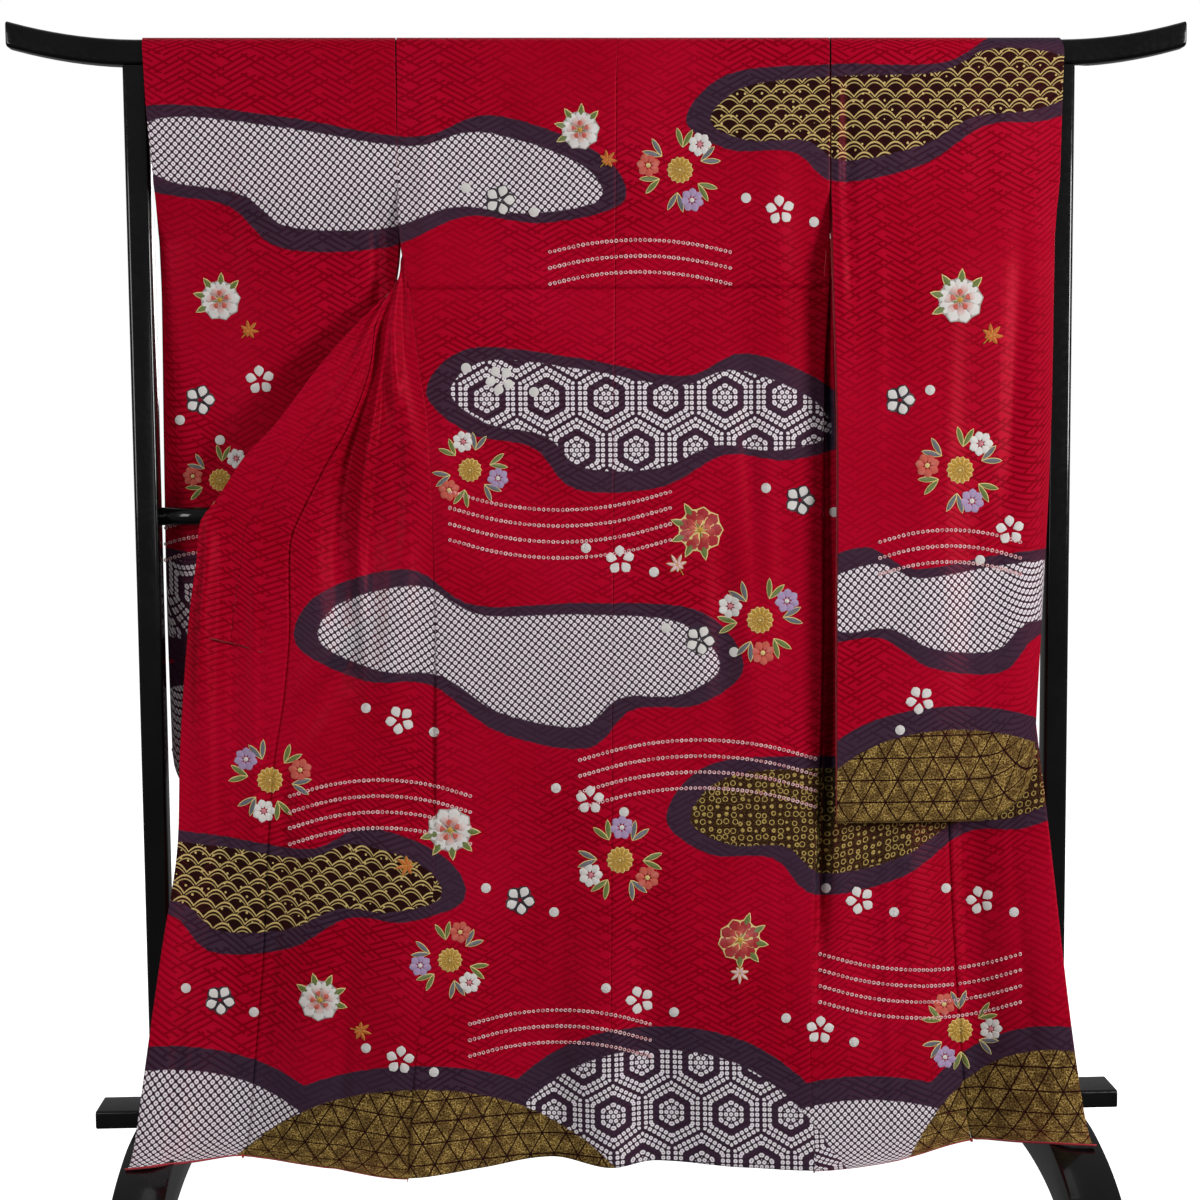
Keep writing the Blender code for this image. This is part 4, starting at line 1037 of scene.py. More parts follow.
FRET_SPACING = 0.0076
FRET_TILT = math.radians(28)
FRET_REPEAT = 11.0
FRET_ON = 0.6
KANOKO_PITCH = 0.0076
KANOKO_TURN = math.radians(40)
RING_SPACING = 0.0112
RING_REACH = 0.33
HEXAGON_ACROSS = 0.086
HEXAGON_ROWS = 5.7
WAVE_RISE = 0.0140
WAVE_ACROSS = 0.0300
LATTICE_SPACING = 0.030
PATCH = 0.016
EDGE_SOFT = 0.0009
EDGE_WANDER = 0.0040


def make_dyed_silk():
    """Figured silk satin, dyed in fields: a soft sheen, with a woven fret all over the ground."""
    gloss = {"Roughness": 0.40, "Specular_IOR_Level": 0.5, "Specular_Tint": colour("#C8203C")}
    silk = Shades("figured_silk_satin", **gloss)
    add = silk.add
    weave = add("UVMap", uv_map="weave")
    across, along = (add("SeparateXYZ", weave, out=i) for i in (0, 1))
    wander = add("TexNoise", weave, None, 90.0, 3.0)
    wander = add("Math", add("Math", wander, 0.5, operation="SUBTRACT"), EDGE_WANDER, operation="MULTIPLY")

    def turned(angle, spacing):
        """The distance across lines that run at an angle, in spacings."""
        first = add("Math", across, math.sin(angle) / spacing, operation="MULTIPLY")
        return add("Math", along, math.cos(angle) / spacing, first, operation="MULTIPLY_ADD")

    def near_whole(value):
        off = add("Math", value, add("Math", value, operation="ROUND"), operation="SUBTRACT")
        return add("Math", off, operation="ABSOLUTE")

    def product(*factors):
        out = factors[0]
        for factor in factors[1:]:
            out = add("Math", out, factor, operation="MULTIPLY")
        return out

    # The woven fret: two families of long lines, whose ends hook into each other.
    fret = None
    axes = turned(-FRET_TILT, FRET_SPACING), turned(FRET_TILT, FRET_SPACING)
    families = (axes[0], axes[1], 1.0, 0.0), (axes[1], axes[0], -1.0, FRET_REPEAT / 2)
    for first, second, way, shift in families:
        number = add("Math", first, operation="ROUND")
        hook = product(add("Math", number, 3.0, operation="FLOORED_MODULO"), 1.5)
        step = add("Math", second, number, operation="SUBTRACT")
        step = add("Math", step, way, hook, operation="MULTIPLY_ADD")
        cycle = add("Math", step, 1.0 / FRET_REPEAT, shift / FRET_REPEAT, operation="MULTIPLY_ADD")
        cycle = add("Math", cycle, operation="FRACT")
        line = add("MapRange", near_whole(first), 0.26, 0.14, 0.0, 1.0)
        mask = product(line, add("Math", cycle, FRET_ON, operation="LESS_THAN"))
        fret = mask if fret is None else add("Math", fret, mask, operation="MAXIMUM")

    # Shibori knots: small pale squares with a dark centre.
    a, b = turned(KANOKO_TURN, KANOKO_PITCH), turned(KANOKO_TURN + math.pi / 2, KANOKO_PITCH)
    off_a, off_b = near_whole(a), near_whole(b)

    def round_square(first, second):
        """The distance from a knot's middle, in the shape of a square with round corners."""
        cubes = (add("Math", side, 3.0, operation="POWER") for side in (first, second))
        cubes = add("Math", *cubes, operation="ADD")
        return add("Math", cubes, 1.0 / 3.0, operation="POWER")

    square = round_square(off_a, off_b)
    knot_ramp = (
        (0.0, "#5C4A58"), (0.09, "#B5A8B2"), (0.18, "#F6F0F4"), (0.33, "#ECE5EA"), (0.43, "#2A1F2E"),
    )
    knots = add("ValToRGB", square, ramp=knot_ramp)
    knot_height = add("MapRange", square, 0.44, 0.15, 0.0, 1.0)

    # Rings in gold on black.
    dust = add("TexNoise", weave, None, 420.0, 2.0)
    gold = add("ValToRGB", dust, ramp=((0.34, "#33240F"), (0.5, "#7A6231"), (0.64, "#BFA461")))
    cells = add("TexVoronoi", weave, None, 1.0 / RING_SPACING, 0.0, None, None, None, None, 0.35)
    ring = add("Math", add("Math", cells, RING_REACH, operation="SUBTRACT"), operation="ABSOLUTE")
    ring = add("MapRange", ring, 0.075, 0.035, 0.0, 1.0)
    ground = add("ValToRGB", dust, ramp=((0.45, "#1F1813"), (0.62, "#4A3C20")))
    rings = add("MixRGB", ring, ground, add("ValToRGB", dust, ramp=((0.3, "#7C6835"), (0.6, "#C4AA62"))))

    # Nested hexagons of knots, in rows along the hexagons' sides.
    root3 = math.sqrt(3)
    reach = run = None
    for shift in (0.0, 0.5):
        u = add("Math", across, 1.0 / HEXAGON_ACROSS, shift, operation="MULTIPLY_ADD")
        v = add("Math", along, 1.0 / (HEXAGON_ACROSS * root3), shift, operation="MULTIPLY_ADD")
        x, y = product(near_whole(u), 2.0), product(near_whole(v), 2.0 * root3)
        slant = add("Math", x, 0.5, product(y, root3 / 2), operation="MULTIPLY_ADD")
        slant_run = add("Math", x, -root3 / 2, product(y, 0.5), operation="MULTIPLY_ADD")
        slant_run = add("Math", slant_run, operation="ABSOLUTE")
        upright = add("Math", x, slant, operation="GREATER_THAN")
        here = add("Math", x, slant, operation="MAXIMUM")
        here_run = add("Math", y, slant_run, operation="SUBTRACT")
        here_run = add("Math", here_run, upright, slant_run, operation="MULTIPLY_ADD")
        if reach is None:
            reach, run = here, here_run
            continue
        nearer = add("Math", here, reach, operation="LESS_THAN")
        change = add("Math", here_run, run, operation="SUBTRACT")
        run = add("Math", change, nearer, run, operation="MULTIPLY_ADD")
        reach = add("Math", here, reach, operation="MINIMUM")
    rows = product(reach, HEXAGON_ROWS)
    hexagon_square = round_square(near_whole(rows), near_whole(product(run, HEXAGON_ROWS)))
    bands = add("ValToRGB", product(add("Math", rows, operation="ROUND"), 1.0 / HEXAGON_ROWS), ramp=(
        (0.0, "#FFFFFF"), (0.44, "#FFFFFF"), (0.441, "#000000"), (0.61, "#000000"), (0.611, "#FFFFFF"),
        (0.96, "#FFFFFF"), (0.961, "#000000"),
    ))

    # Gold lattice, and rows of gold waves.
    dark = None
    for angle in (0.0, math.pi / 3, -math.pi / 3):
        mask = add("Math", near_whole(turned(angle, LATTICE_SPACING)), 0.034, operation="LESS_THAN")
        dark = mask if dark is None else add("Math", dark, mask, operation="MAXIMUM")
    patches = add("TexNoise", weave, None, 1.0 / PATCH, 0.0)
    patches = add("MixRGB", add("MapRange", patches, 0.42, 0.6, 0.55, 0.0), gold, colour("#2A1D10"))
    lattice = add("MixRGB", dark, patches, colour("#17110F"))
    row = add("Math", along, 1.0 / WAVE_RISE, operation="MULTIPLY")
    half = product(add("Math", row, operation="FLOOR"), 0.5)
    swing = add("Math", across, 1.0 / WAVE_ACROSS, half, operation="MULTIPLY_ADD")
    swing = add("Math", swing, operation="FRACT")
    swing = add("Math", swing, 2.0, -1.0, operation="MULTIPLY_ADD")
    crest = add("Math", product(swing, swing), -0.7, 0.85, operation="MULTIPLY_ADD")
    crest = add("Math", add("Math", row, operation="FRACT"), crest, operation="SUBTRACT")
    inner = add("Math", add("Math", crest, 0.36, operation="ADD"), operation="ABSOLUTE")
    inner = add("MapRange", inner, 0.08, 0.04, 0.0, 0.8)
    crest = add("MapRange", add("Math", crest, operation="ABSOLUTE"), 0.11, 0.06, 0.0, 1.0)
    crest = add("Math", crest, inner, operation="MAXIMUM")
    spray = add("Math", add("Math", cells, 0.16, operation="LESS_THAN"), crest, operation="MAXIMUM")
    waves = add("MixRGB", spray, colour("#17120F"), colour("#CDB474"))

    # The ground: crimson, and aubergine in the river, each with the fret in it.
    breath = add("TexNoise", weave, None, 5.0, 2.0)
    crimson = add("ValToRGB", breath, ramp=((0.3, "#A80421"), (0.7, "#B40829")))
    calm = add("MapRange", add("TexNoise", weave, None, 3.2, 1.0), 0.38, 0.60, 0.35, 0.85)
    crimson = add("MixRGB", product(fret, calm), crimson, colour("#78000F"))
    river = add("MixRGB", product(fret, calm), colour("#382C3C"), colour("#231A28"))
    hexagons = add("MixRGB", bands, river, add("ValToRGB", hexagon_square, ramp=knot_ramp))
    shade = crimson
    fields = (
        ("river", river), ("waves", waves), ("kanoko", knots), ("rings", rings), ("kikko", hexagons),
        ("lattice", lattice),
    )
    knotted = None
    for dye, look in fields:
        inside = add("Math", add("Attribute", attribute_name=dye, out=2), wander, operation="ADD")
        mask = add("MapRange", inside, -EDGE_SOFT, EDGE_SOFT, 0.0, 1.0)
        shade = add("MixRGB", mask, shade, look)
        if dye == "kanoko":
            knotted = mask
    relief = add("MixRGB", knotted, product(fret, -0.4), knot_height)
    threads = add("TexNoise", weave, None, 900.0, 1.0)
    relief = add("Math", threads, 0.3, relief, operation="MULTIPLY_ADD")
    bump = add("Bump", 0.5, 0.0008, None, relief)
    return silk.finish(Base_Color=shade, Normal=bump)


def make_lining():
    """Plain-woven silk lining in red, matt beside the satin."""
    silk = Shades("plain_silk_lining", Roughness=0.6, Sheen_Weight=0.2)
    weave = silk.add("UVMap", uv_map="weave")
    tone = silk.add("TexNoise", weave, None, 40.0, 3.0)
    shade = silk.add("ValToRGB", tone, ramp=((0.3, "#A3101F"), (0.7, "#BE1A2B")))
    threads = silk.add("TexWave", weave, 600.0, 0.0)
    return silk.finish(Base_Color=shade, Normal=silk.add("Bump", 0.2, 0.0004, None, threads))


def make_lacquer():
    """Black urushi lacquer, polished: deep gloss with the faintest waviness and fine rubbing marks."""
    gloss = {"Roughness": 0.16, "Specular_IOR_Level": 0.25, "Coat_Weight": 0.3, "Coat_Roughness": 0.05}
    coat = Shades("black_urushi_lacquer", **gloss)
    place_on = coat.add("TexCoord", out=3)
    tone = coat.add("TexNoise", place_on, None, 14.0, 3.0)
    shade = coat.add("ValToRGB", tone, ramp=((0.35, "#070708"), (0.7, "#0F0E0F")))
    rub = coat.add("TexNoise", place_on, None, 130.0, 4.0)
    rough = coat.add("MapRange", rub, 0.35, 0.7, 0.12, 0.22)
    wave = coat.add("TexNoise", place_on, None, 22.0, 2.0)
    return coat.finish(Base_Color=shade, Roughness=rough, Normal=coat.add("Bump", 0.06, 0.001, None, wave))


DYED_SILK = make_dyed_silk()
LINING_SILK = make_lining()
LACQUER = make_lacquer()


# The stand, rounder than its solids.
def finish_mesh(name, shape, material):
    bmesh.ops.recalc_face_normals(shape, faces=shape.faces)
    mesh = bpy.data.meshes.new(name)
    shape.to_mesh(mesh)
    shape.free()
    mesh.materials.append(material)
    mesh.shade_smooth()
    piece = bpy.data.objects.new("lacquered_" + name, mesh)
    bpy.context.scene.collection.objects.link(piece)
    return finish_piece(piece, "black_lacquer", name)


def round_section(half_y, half_z, radius, steps=6):
    """A rectangle with round corners, as (y, z) points."""
    out = []
    for i, (y, z) in enumerate(((1, 1), (-1, 1), (-1, -1), (1, -1))):
        for step in range(steps + 1):
            angle = (i + step / steps) * math.pi / 2
            c, s = radius * math.cos(angle), radius * math.sin(angle)
            out.append((y * (half_y - radius) + c, z * (half_z - radius) + s))
    return out


def sweep(name, stations):
    """A section swept through stations: each is the section's points in place."""
    shape = bmesh.new()
    rings = [[shape.verts.new(point) for point in station] for station in stations]
    for ring, after in zip(rings, rings[1:]):
        for i in range(len(ring)):
            shape.faces.new([ring[i - 1], ring[i], after[i], after[i - 1]])
    shape.faces.new(list(reversed(rings[-1])))
    shape.faces.new(rings[0])
    return finish_mesh(name, shape, LACQUER)


def eased_ends(length, soft, steps=5):
    """Stations towards both ends of a bar whose ends are rounded: (place, inset)."""
    turns = np.linspace(0.0, math.pi / 2, steps)
    end = [(length - soft * (1 - math.sin(t)), soft * (1 - math.cos(t))) for t in turns]
    return [(-place, inset) for place, inset in reversed(end)], end


def make_bar():
    low, high = eased_ends(BAR_HALF_LENGTH, 0.003)
    middle = [(x, 0.0) for x in np.linspace(-BAR_HALF_LENGTH + 0.010, BAR_HALF_LENGTH - 0.010, 90)]
    stations = []
    for x, inset in (*low, *middle, *high):
        beyond = max(0.0, abs(x) - BAR_STRAIGHT) / (BAR_HALF_LENGTH - BAR_STRAIGHT)
        level = BAR_Z + BAR_TIP_RISE * beyond**2
        section = round_section(BAR_DEPTH / 2 - inset, BAR_HEIGHT / 2 - inset, max(0.0065 - inset, 0.001))
        stations.append([(x, y, level + z) for y, z in section])
    return sweep("top_bar", stations)


def make_beam(name, axis, centre, length, half_a, half_b, radius):
    """A straight bar along X or Z with rounded edges and ends."""
    low, high = eased_ends(length / 2, 0.002)
    stations = []
    for place, inset in (*low, *high):
        section = round_section(half_a - inset, half_b - inset, max(radius - inset, 0.001))
        if axis == "x":
            ring = [(centre[0] + place, centre[1] + a, centre[2] + b) for a, b in section]
        else:
            ring = [(centre[0] + a, centre[1] + b, centre[2] + place) for a, b in section]
        stations.append(ring)
    return sweep(name, stations)


def make_mid_rail():
    half = POST_X - POST_SIDE / 2 - JOINT_GAP
    turns = np.linspace(0, 2 * math.pi, 40, endpoint=False)
    ring = [(RAIL_RADIUS * math.cos(a), RAIL_RADIUS * math.sin(a)) for a in turns]
    return sweep("mid_rail", [[(x, y, RAIL_Z + z) for y, z in ring] for x in np.linspace(-half, half, 24)])


def make_foot(side, sign):
    """A low arch: it falls from under the base rail to a toe at each end."""
    y = np.linspace(0.0, FOOT_TOP[-1].y, 34)
    rise = list(zip(y, smooth(FOOT_TOP, "z", y)))
    inside = FOOT_HALF_LENGTH - FOOT_PAD
    under = [(inside * math.cos(a), FOOT_ARCH * math.sin(a)) for a in np.linspace(0.0, math.pi / 2, 24)]
    half = rise + [(FOOT_HALF_LENGTH, 0.0)] + under
    outline = half + [(-y, z) for y, z in reversed(half[1:-1])]
    shape = bmesh.new()
    near = sign * POST_X - FOOT_WIDTH / 2
    face = shape.faces.new([shape.verts.new((near, y, z)) for y, z in outline])
    pulled = bmesh.ops.extrude_face_region(shape, geom=[face])
    moved = [item for item in pulled["geom"] if isinstance(item, bmesh.types.BMVert)]
    bmesh.ops.translate(shape, verts=moved, vec=(FOOT_WIDTH, 0.0, 0.0))
    piece = finish_mesh("foot_" + side, shape, LACQUER)
    edge = piece.modifiers.new("round", "BEVEL")
    edge.width = 0.0045
    edge.segments = 4
    edge.limit_method = "ANGLE"
    edge.angle_limit = math.radians(40)
    return piece


def make_stand():
    make_bar()
    make_mid_rail()
    centre = (0.0, 0.0, BASE_TOP - BASE_HEIGHT / 2)
    make_beam("base_rail", "x", centre, 2 * BASE_HALF_LENGTH, BASE_DEPTH / 2, BASE_HEIGHT / 2, 0.005)
    low, high = BASE_TOP + JOINT_GAP, BAR_Z - BAR_HEIGHT / 2 - JOINT_GAP
    for side, sign in (("left", -1), ("right", 1)):
        centre = (sign * POST_X, 0.0, (low + high) / 2)
        make_beam("post_" + side, "z", centre, high - low, POST_SIDE / 2, POST_SIDE / 2, 0.006)
        make_foot(side, sign)


def make_camera():
    right, up, forward = camera_axes()
    lens = bpy.data.cameras.new("camera")
    lens.lens = CAMERA_LENS
    lens.sensor_width = CAMERA_SENSOR
    lens.clip_start = 0.05
    camera = bpy.data.objects.new("camera", lens)
    bpy.context.scene.collection.objects.link(camera)
    turn = Matrix((right, up, -forward)).transposed().to_4x4()
    camera.matrix_world = Matrix.Translation(CAMERA_AT) @ turn
    bpy.context.scene.camera = camera


def make_light(name, place_at, aim, size, power, tint="#FFFFFF"):
    lamp = bpy.data.lights.new(name, "AREA")
    lamp.shape = "RECTANGLE"
    lamp.size, lamp.size_y = size
    lamp.energy = power
    lamp.color = colour(tint)[:3]
    light = bpy.data.objects.new(name, lamp)
    bpy.context.scene.collection.objects.link(light)
    light.location = place_at
    light.rotation_euler = (Vector(aim) - Vector(place_at)).to_track_quat("-Z", "Y").to_euler()


AMBIENT_LOW = 0.04
AMBIENT_HIGH = 0.26


def make_studio():
    glow_of = {"Emission_Color": colour("#FFFFFF"), "Emission_Strength": 0.92}
    floor = Shades("pale_studio_floor", Roughness=0.75, **glow_of)
    place_on = floor.add("TexCoord", out=3)
    tone = floor.add("TexNoise", place_on, None, 1.5, 3.0)
    shade = floor.add("ValToRGB", tone, ramp=((0.3, "#E4E3E2"), (0.7, "#EAE9E8")))
    paper = floor.finish(Base_Color=shade)
    bpy.ops.mesh.primitive_plane_add(size=30.0)
    plane = bpy.context.object
    plane.name = "studio_floor"
    plane.data.materials.append(paper)
    plane.visible_diffuse = False
    plane.visible_glossy = False
    world = bpy.data.worlds.new("studio")
    world.use_nodes = True
    sky = world.node_tree
    glow = sky.nodes["Background"]
    glow.inputs[0].default_value = colour("#FFFFFF")
    seen = sky.nodes.new("ShaderNodeLightPath")
    toward = sky.nodes.new("ShaderNodeTexCoord")
    height = sky.nodes.new("ShaderNodeSeparateXYZ")
    ambient = sky.nodes.new("ShaderNodeMapRange")
    level = sky.nodes.new("ShaderNodeMapRange")
    ambient.inputs[1].default_value = -1.0
    ambient.inputs[3].default_value = AMBIENT_LOW
    ambient.inputs[4].default_value = AMBIENT_HIGH
    sky.links.new(toward.outputs["Generated"], height.inputs[0])
    sky.links.new(height.outputs["Z"], ambient.inputs[0])
    sky.links.new(ambient.outputs[0], level.inputs[3])
    sky.links.new(seen.outputs["Is Camera Ray"], level.inputs[0])
    sky.links.new(level.outputs[0], glow.inputs[1])
    bpy.context.scene.world = world
    bpy.context.scene.view_settings.view_transform = "Standard"
    make_light("key", (2.8, -2.3, 1.75), (0.2, 0.0, 1.1), (0.8, 1.2), 96.0)
    make_light("fill", (-2.3, -2.0, 1.6), (-0.45, 0.0, 1.25), (0.9, 1.2), 24.0)
    make_light("front", (-0.3, -3.4, 1.3), (0.0, 0.0, 1.1), (1.0, 1.0), 6.0)
    make_light("back", (0.6, 3.2, 2.0), (0.0, 0.0, 1.0), (2.0, 1.5), 45.0)
    make_light("top", (0.0, 0.8, 3.6), (0.0, 0.0, 1.0), (2.5, 1.5), 6.0)


# Needlework: padded satin stitch, drawn flat and then laid on the hanging cloth. One pixel in metres:
PIXEL = 0.00145
THREAD_CLEAR = 0.0004
EDGE_LIFT = 0.0004
BLOSSOM_SIZE = 30
SPOT_RADIUS = 5
KNOT_ROW_STEP = 16
GOLD, PALE_GOLD, DARK_GOLD = "#D8A737", "#F3DA8E", "#94702A"
WHITE, SLATE = "#EFEAE6", "#6E7079"
ROSE, PINK, RED, ORANGE = "#E58A97", "#F3C9CC", "#B3202C", "#D8702B"
LILAC, GREEN = "#B79CC4", "#6F7F3C"
RIVER, CORAL = "#231A28", "#D8604F"


def mixed(first, second, share):
    return np.array(colour(first)) * (1 - share) + np.array(colour(second)) * share


class Needlework:
    """Collects the stitched shapes of one cloth and makes one piece of them."""

    def __init__(self):
        self.points, self.faces, self.shades, self.stitch = [], [], [], []
        self.base = 0.0

    def patch(self, flat, lift, shades, stitch):
        """Adds a grid: flat (x, z) places, how far each stands off the cloth, its colour and its thread."""
        rows, columns = lift.shape
        first = sum(len(part) for part in self.points)
        index = first + np.arange(rows * columns).reshape(rows, columns)
        quads = np.stack((index[:-1, :-1], index[:-1, 1:], index[1:, 1:], index[1:, :-1]), axis=-1)
        quads = quads.reshape(-1, 4)
        turn = np.cross(flat[1, 1] - flat[0, 0], flat[-1, columns // 2] - flat[0, 0])
        self.points.append(np.dstack((flat, lift + self.base)).reshape(-1, 3))
        self.faces.append(quads if turn > 0 else quads[:, ::-1])
        self.shades.append(shades.reshape(-1, 4))
        self.stitch.append(stitch.reshape(-1, 2))

    def petal(
        self, at, angle, length, width, inner, outer, edge=None, start=0.0, lift=0.0011, full=1.0, rows=7,
    ):
        """One padded petal or leaf that points along an angle. A full one is widest towards its tip."""
        if edge:
            self.petal(at, angle, length, width, edge, edge, None, start, lift, full, rows)
            self.base += EDGE_LIFT
            start, length, width = start + 0.07 * length, 0.88 * length, 0.76 * width
        s = np.linspace(0.0, 1.0, rows)[:, None]
        t = np.linspace(-1.0, 1.0, 7)[None, :]
        half = width / 2 * np.sin(math.pi * s ** (1.0 / full)) ** 0.7 + width * 0.02
        out = start + length * s + 0 * t
        side = half * t
        c, d = math.cos(angle), math.sin(angle)
        flat = np.stack((at[0] + out * c - side * d, at[1] + out * d + side * c), axis=-1)
        along = np.sin(math.pi * np.clip(s, 0.03, 0.97)) ** 0.4
        rise = lift * (np.sqrt(np.clip(1.0 - 0.92 * t**2, 0, 1)) * along)
        self.patch(flat, rise, mixed(inner, outer, (s + 0 * t)[..., None]), np.stack((out, side), axis=-1))
        if edge:
            self.base -= EDGE_LIFT

    def disc(self, at, radius, shade, lift=0.0010, sectors=24, rings=5):
        """A padded round. shade gives the colour from (distance, angle)."""
        r = np.linspace(0.0, 1.0, rings)[:, None]
        a = np.linspace(0.0, 2 * math.pi, sectors + 1)[None, :]
        flat = np.stack((at[0] + radius * r * np.cos(a), at[1] + radius * r * np.sin(a)), axis=-1)
        rise = lift * np.sqrt(np.clip(1.0 - 0.95 * r**2, 0, 1)) + 0 * a
        tones = np.array([[shade(float(x), float(y)) for y in a[0]] for x in r[:, 0]])
        self.patch(flat, rise, tones, np.stack((radius * r * a, radius * r + 0 * a), axis=-1))

    def cord(self, points, width, shade, lift=0.0012):
        """A couched thread along a line."""
        line = np.array(points, float)
        along = np.gradient(line, axis=0)
        along /= np.maximum(np.linalg.norm(along, axis=1, keepdims=True), 1e-9)
        side = np.stack((-along[:, 1], along[:, 0]), axis=-1)
        t = np.linspace(-1.0, 1.0, 5)
        flat = line[:, None, :] + side[:, None, :] * (t * width / 2)[None, :, None]
        rise = lift * np.sqrt(np.clip(1.0 - 0.97 * t**2, 0, 1))[None, :] + np.zeros((len(line), 1))
        run = np.concatenate(([0.0], np.cumsum(np.hypot(*np.diff(line, axis=0).T))))
        tones = np.zeros((*rise.shape, 4)) + np.array(colour(shade))
        stitch = np.stack((0 * rise + (t * width)[None, :], run[:, None] + 0 * rise), axis=-1)
        self.patch(flat, rise, tones, stitch)

    def blossom(self, at, size, shade=WHITE, heart=None, petals=5, turn=0.3, ground=None):
        """A round flower of broad petals with a small gap between them."""
        for i in range(petals):
            angle = turn + 2 * math.pi * i / petals
            if ground:
                self.petal(at, angle, size * 0.48, size * 0.44, ground, ground,
                           start=size * 0.04, full=0.75, lift=0.0005)
            self.petal(at, angle, size * 0.38, size * 0.31, shade, shade, start=size * 0.11, full=0.8)
        if heart:
            self.disc(at, size * 0.10, lambda r, a: colour(heart), lift=0.00132, sectors=10, rings=3)

    def many_petals(self, at, size, inner, outer, edge, heart, layers, petals):
        """A chrysanthemum: rounds of narrow petals, each set between those of the round below."""
        for layer in range(layers):
            share = 1.0 - 0.36 * layer
            for i in range(petals):
                angle = math.tau * (i + 0.5 * (layer % 2)) / petals - math.pi
                self.petal(at, angle, size * 0.40 * share, size * 0.19, inner, outer, edge,
                           start=size * 0.10 * share, full=0.42, lift=0.0010 + 0.0005 * layer)
        self.disc(at, size * 0.11, lambda r, a: colour(heart), lift=0.0018, sectors=12, rings=3)

    def peony(self, at, size, outer, inner, edge, turn=0.0):
        """Three rounds of edged petals about a gold heart."""
        rounds = (
            (1.0, 9, 0.30, outer, outer), (0.70, 7, 0.26, inner, outer), (0.44, 5, 0.20, inner, inner),
        )
        for layer, (reach, count, width, near, far) in enumerate(rounds):
            for i in range(count):
                angle = turn + layer * 0.4 + 2 * math.pi * i / count
                self.petal(at, angle, size * 0.42 * reach, size * width, near, far, edge, start=size * 0.05,
                           full=0.5, lift=0.0009 + 0.0006 * layer)
        self.disc(at, size * 0.06, lambda r, a: colour(GOLD), lift=0.0026, sectors=10, rings=3)

    def leaves(self, at, size, shade, edge, angles):
        for angle in angles:
            self.petal(at, angle, size, size * 0.27, shade, shade, edge, full=0.9, lift=0.0008, rows=8)

    def maple(self, at, size, shade, edge, turn):
        for i, reach in enumerate((0.55, 0.8, 0.95, 1.0, 0.95, 0.8, 0.55)):
            angle = turn + math.radians(50) * (i - 3)
            self.petal(at, angle, size / 2 * reach, size * 0.15, shade, shade, edge, full=1.1, lift=0.0009)
        stalk = (at[0] - 0.45 * size * math.cos(turn), at[1] - 0.45 * size * math.sin(turn))
        self.cord([at, stalk], 0.0014, edge)

    def make(self, name, cloth, depth=None):
        """Lays everything on the cloth. What would hang past the cloth's edge is left out."""
        flat = np.concatenate(self.points)
        places, kept = [], []
        for x, z, lift in flat:
            hit, normal, _, _ = land(cloth, x, z, depth)
            kept.append(hit is not None and normal.y < -0.25)
            off = Vector((0.0, -1.0, 0.0)) * (lift + THREAD_CLEAR)
            places.append(hit + off if hit else Vector((x, 0.0, z)))
        kept = np.array(kept)
        depth = np.array([place_at.y for place_at in places])
        faces = np.concatenate(self.faces)
        good = kept[faces].all(1) & (np.ptp(depth[faces], axis=1) < 0.012)
        mesh = bpy.data.meshes.new(name)
        mesh.from_pydata(places, [], faces[good].tolist())
        attribute = mesh.attributes.new("thread", "FLOAT_COLOR", "POINT")
        attribute.data.foreach_set("color", np.concatenate(self.shades).ravel())
        corners = np.empty(len(mesh.loops), int)
        mesh.loops.foreach_get("vertex_index", corners)
        layer = mesh.uv_layers.new(name="stitch")
        layer.uv.foreach_set("vector", np.concatenate(self.stitch)[corners].ravel())
        shape = bmesh.new()
        shape.from_mesh(mesh)
        bmesh.ops.delete(shape, geom=[v for v in shape.verts if not v.link_faces], context="VERTS")
        shape.to_mesh(mesh)
        shape.free()
        mesh.materials.append(STITCHED)
        mesh.shade_smooth()
        piece = bpy.data.objects.new(name, mesh)
        bpy.context.scene.collection.objects.link(piece)
        return finish_piece(piece, "crimson_silk")


def make_thread():
    """Floss silk in satin stitch: bright, with fine parallel threads and painted shade in the grooves
    between them, and a few strands of gold.
    """
    floss = Shades("floss_silk_embroidery", Roughness=0.42, Specular_IOR_Level=0.4, Sheen_Weight=0.05)
    stitch = floss.add("UVMap", uv_map="stitch")
    tint = floss.add("Attribute", attribute_name="thread")
    strands = floss.add("TexWave", stitch, 320.0, 0.6, 1.0)
    # Painted shade: a dark brown mixed in along the strands stands in for the shade in the grooves between
    # threads.
    strand_groove_shade = floss.add("Math", strands, 0.22, operation="MULTIPLY")
    shade = floss.add("MixRGB", strand_groove_shade, tint, colour("#3A2A22"))
    return floss.finish(Base_Color=shade, Normal=floss.add("Bump", 0.5, 0.0006, None, strands))


STITCHED = make_thread()


def spot(x, y, depth=None):
    """The place on the hanging cloth of one point of the frame, in pixels."""
    return tuple(place([(x, y)], depth)[0])


def tree_of(*names):
    """What a ray meets first on the outside of some of the silk pieces."""
    points, faces = [], []
    for name in names:
        mesh = bpy.data.objects["silk_" + name].data
        first = len(points)
        points += [vertex.co.copy() for vertex in mesh.vertices]
        faces += [[first + corner for corner in polygon.vertices] for polygon in mesh.polygons]
    return BVHTree.FromPolygons(points, faces)


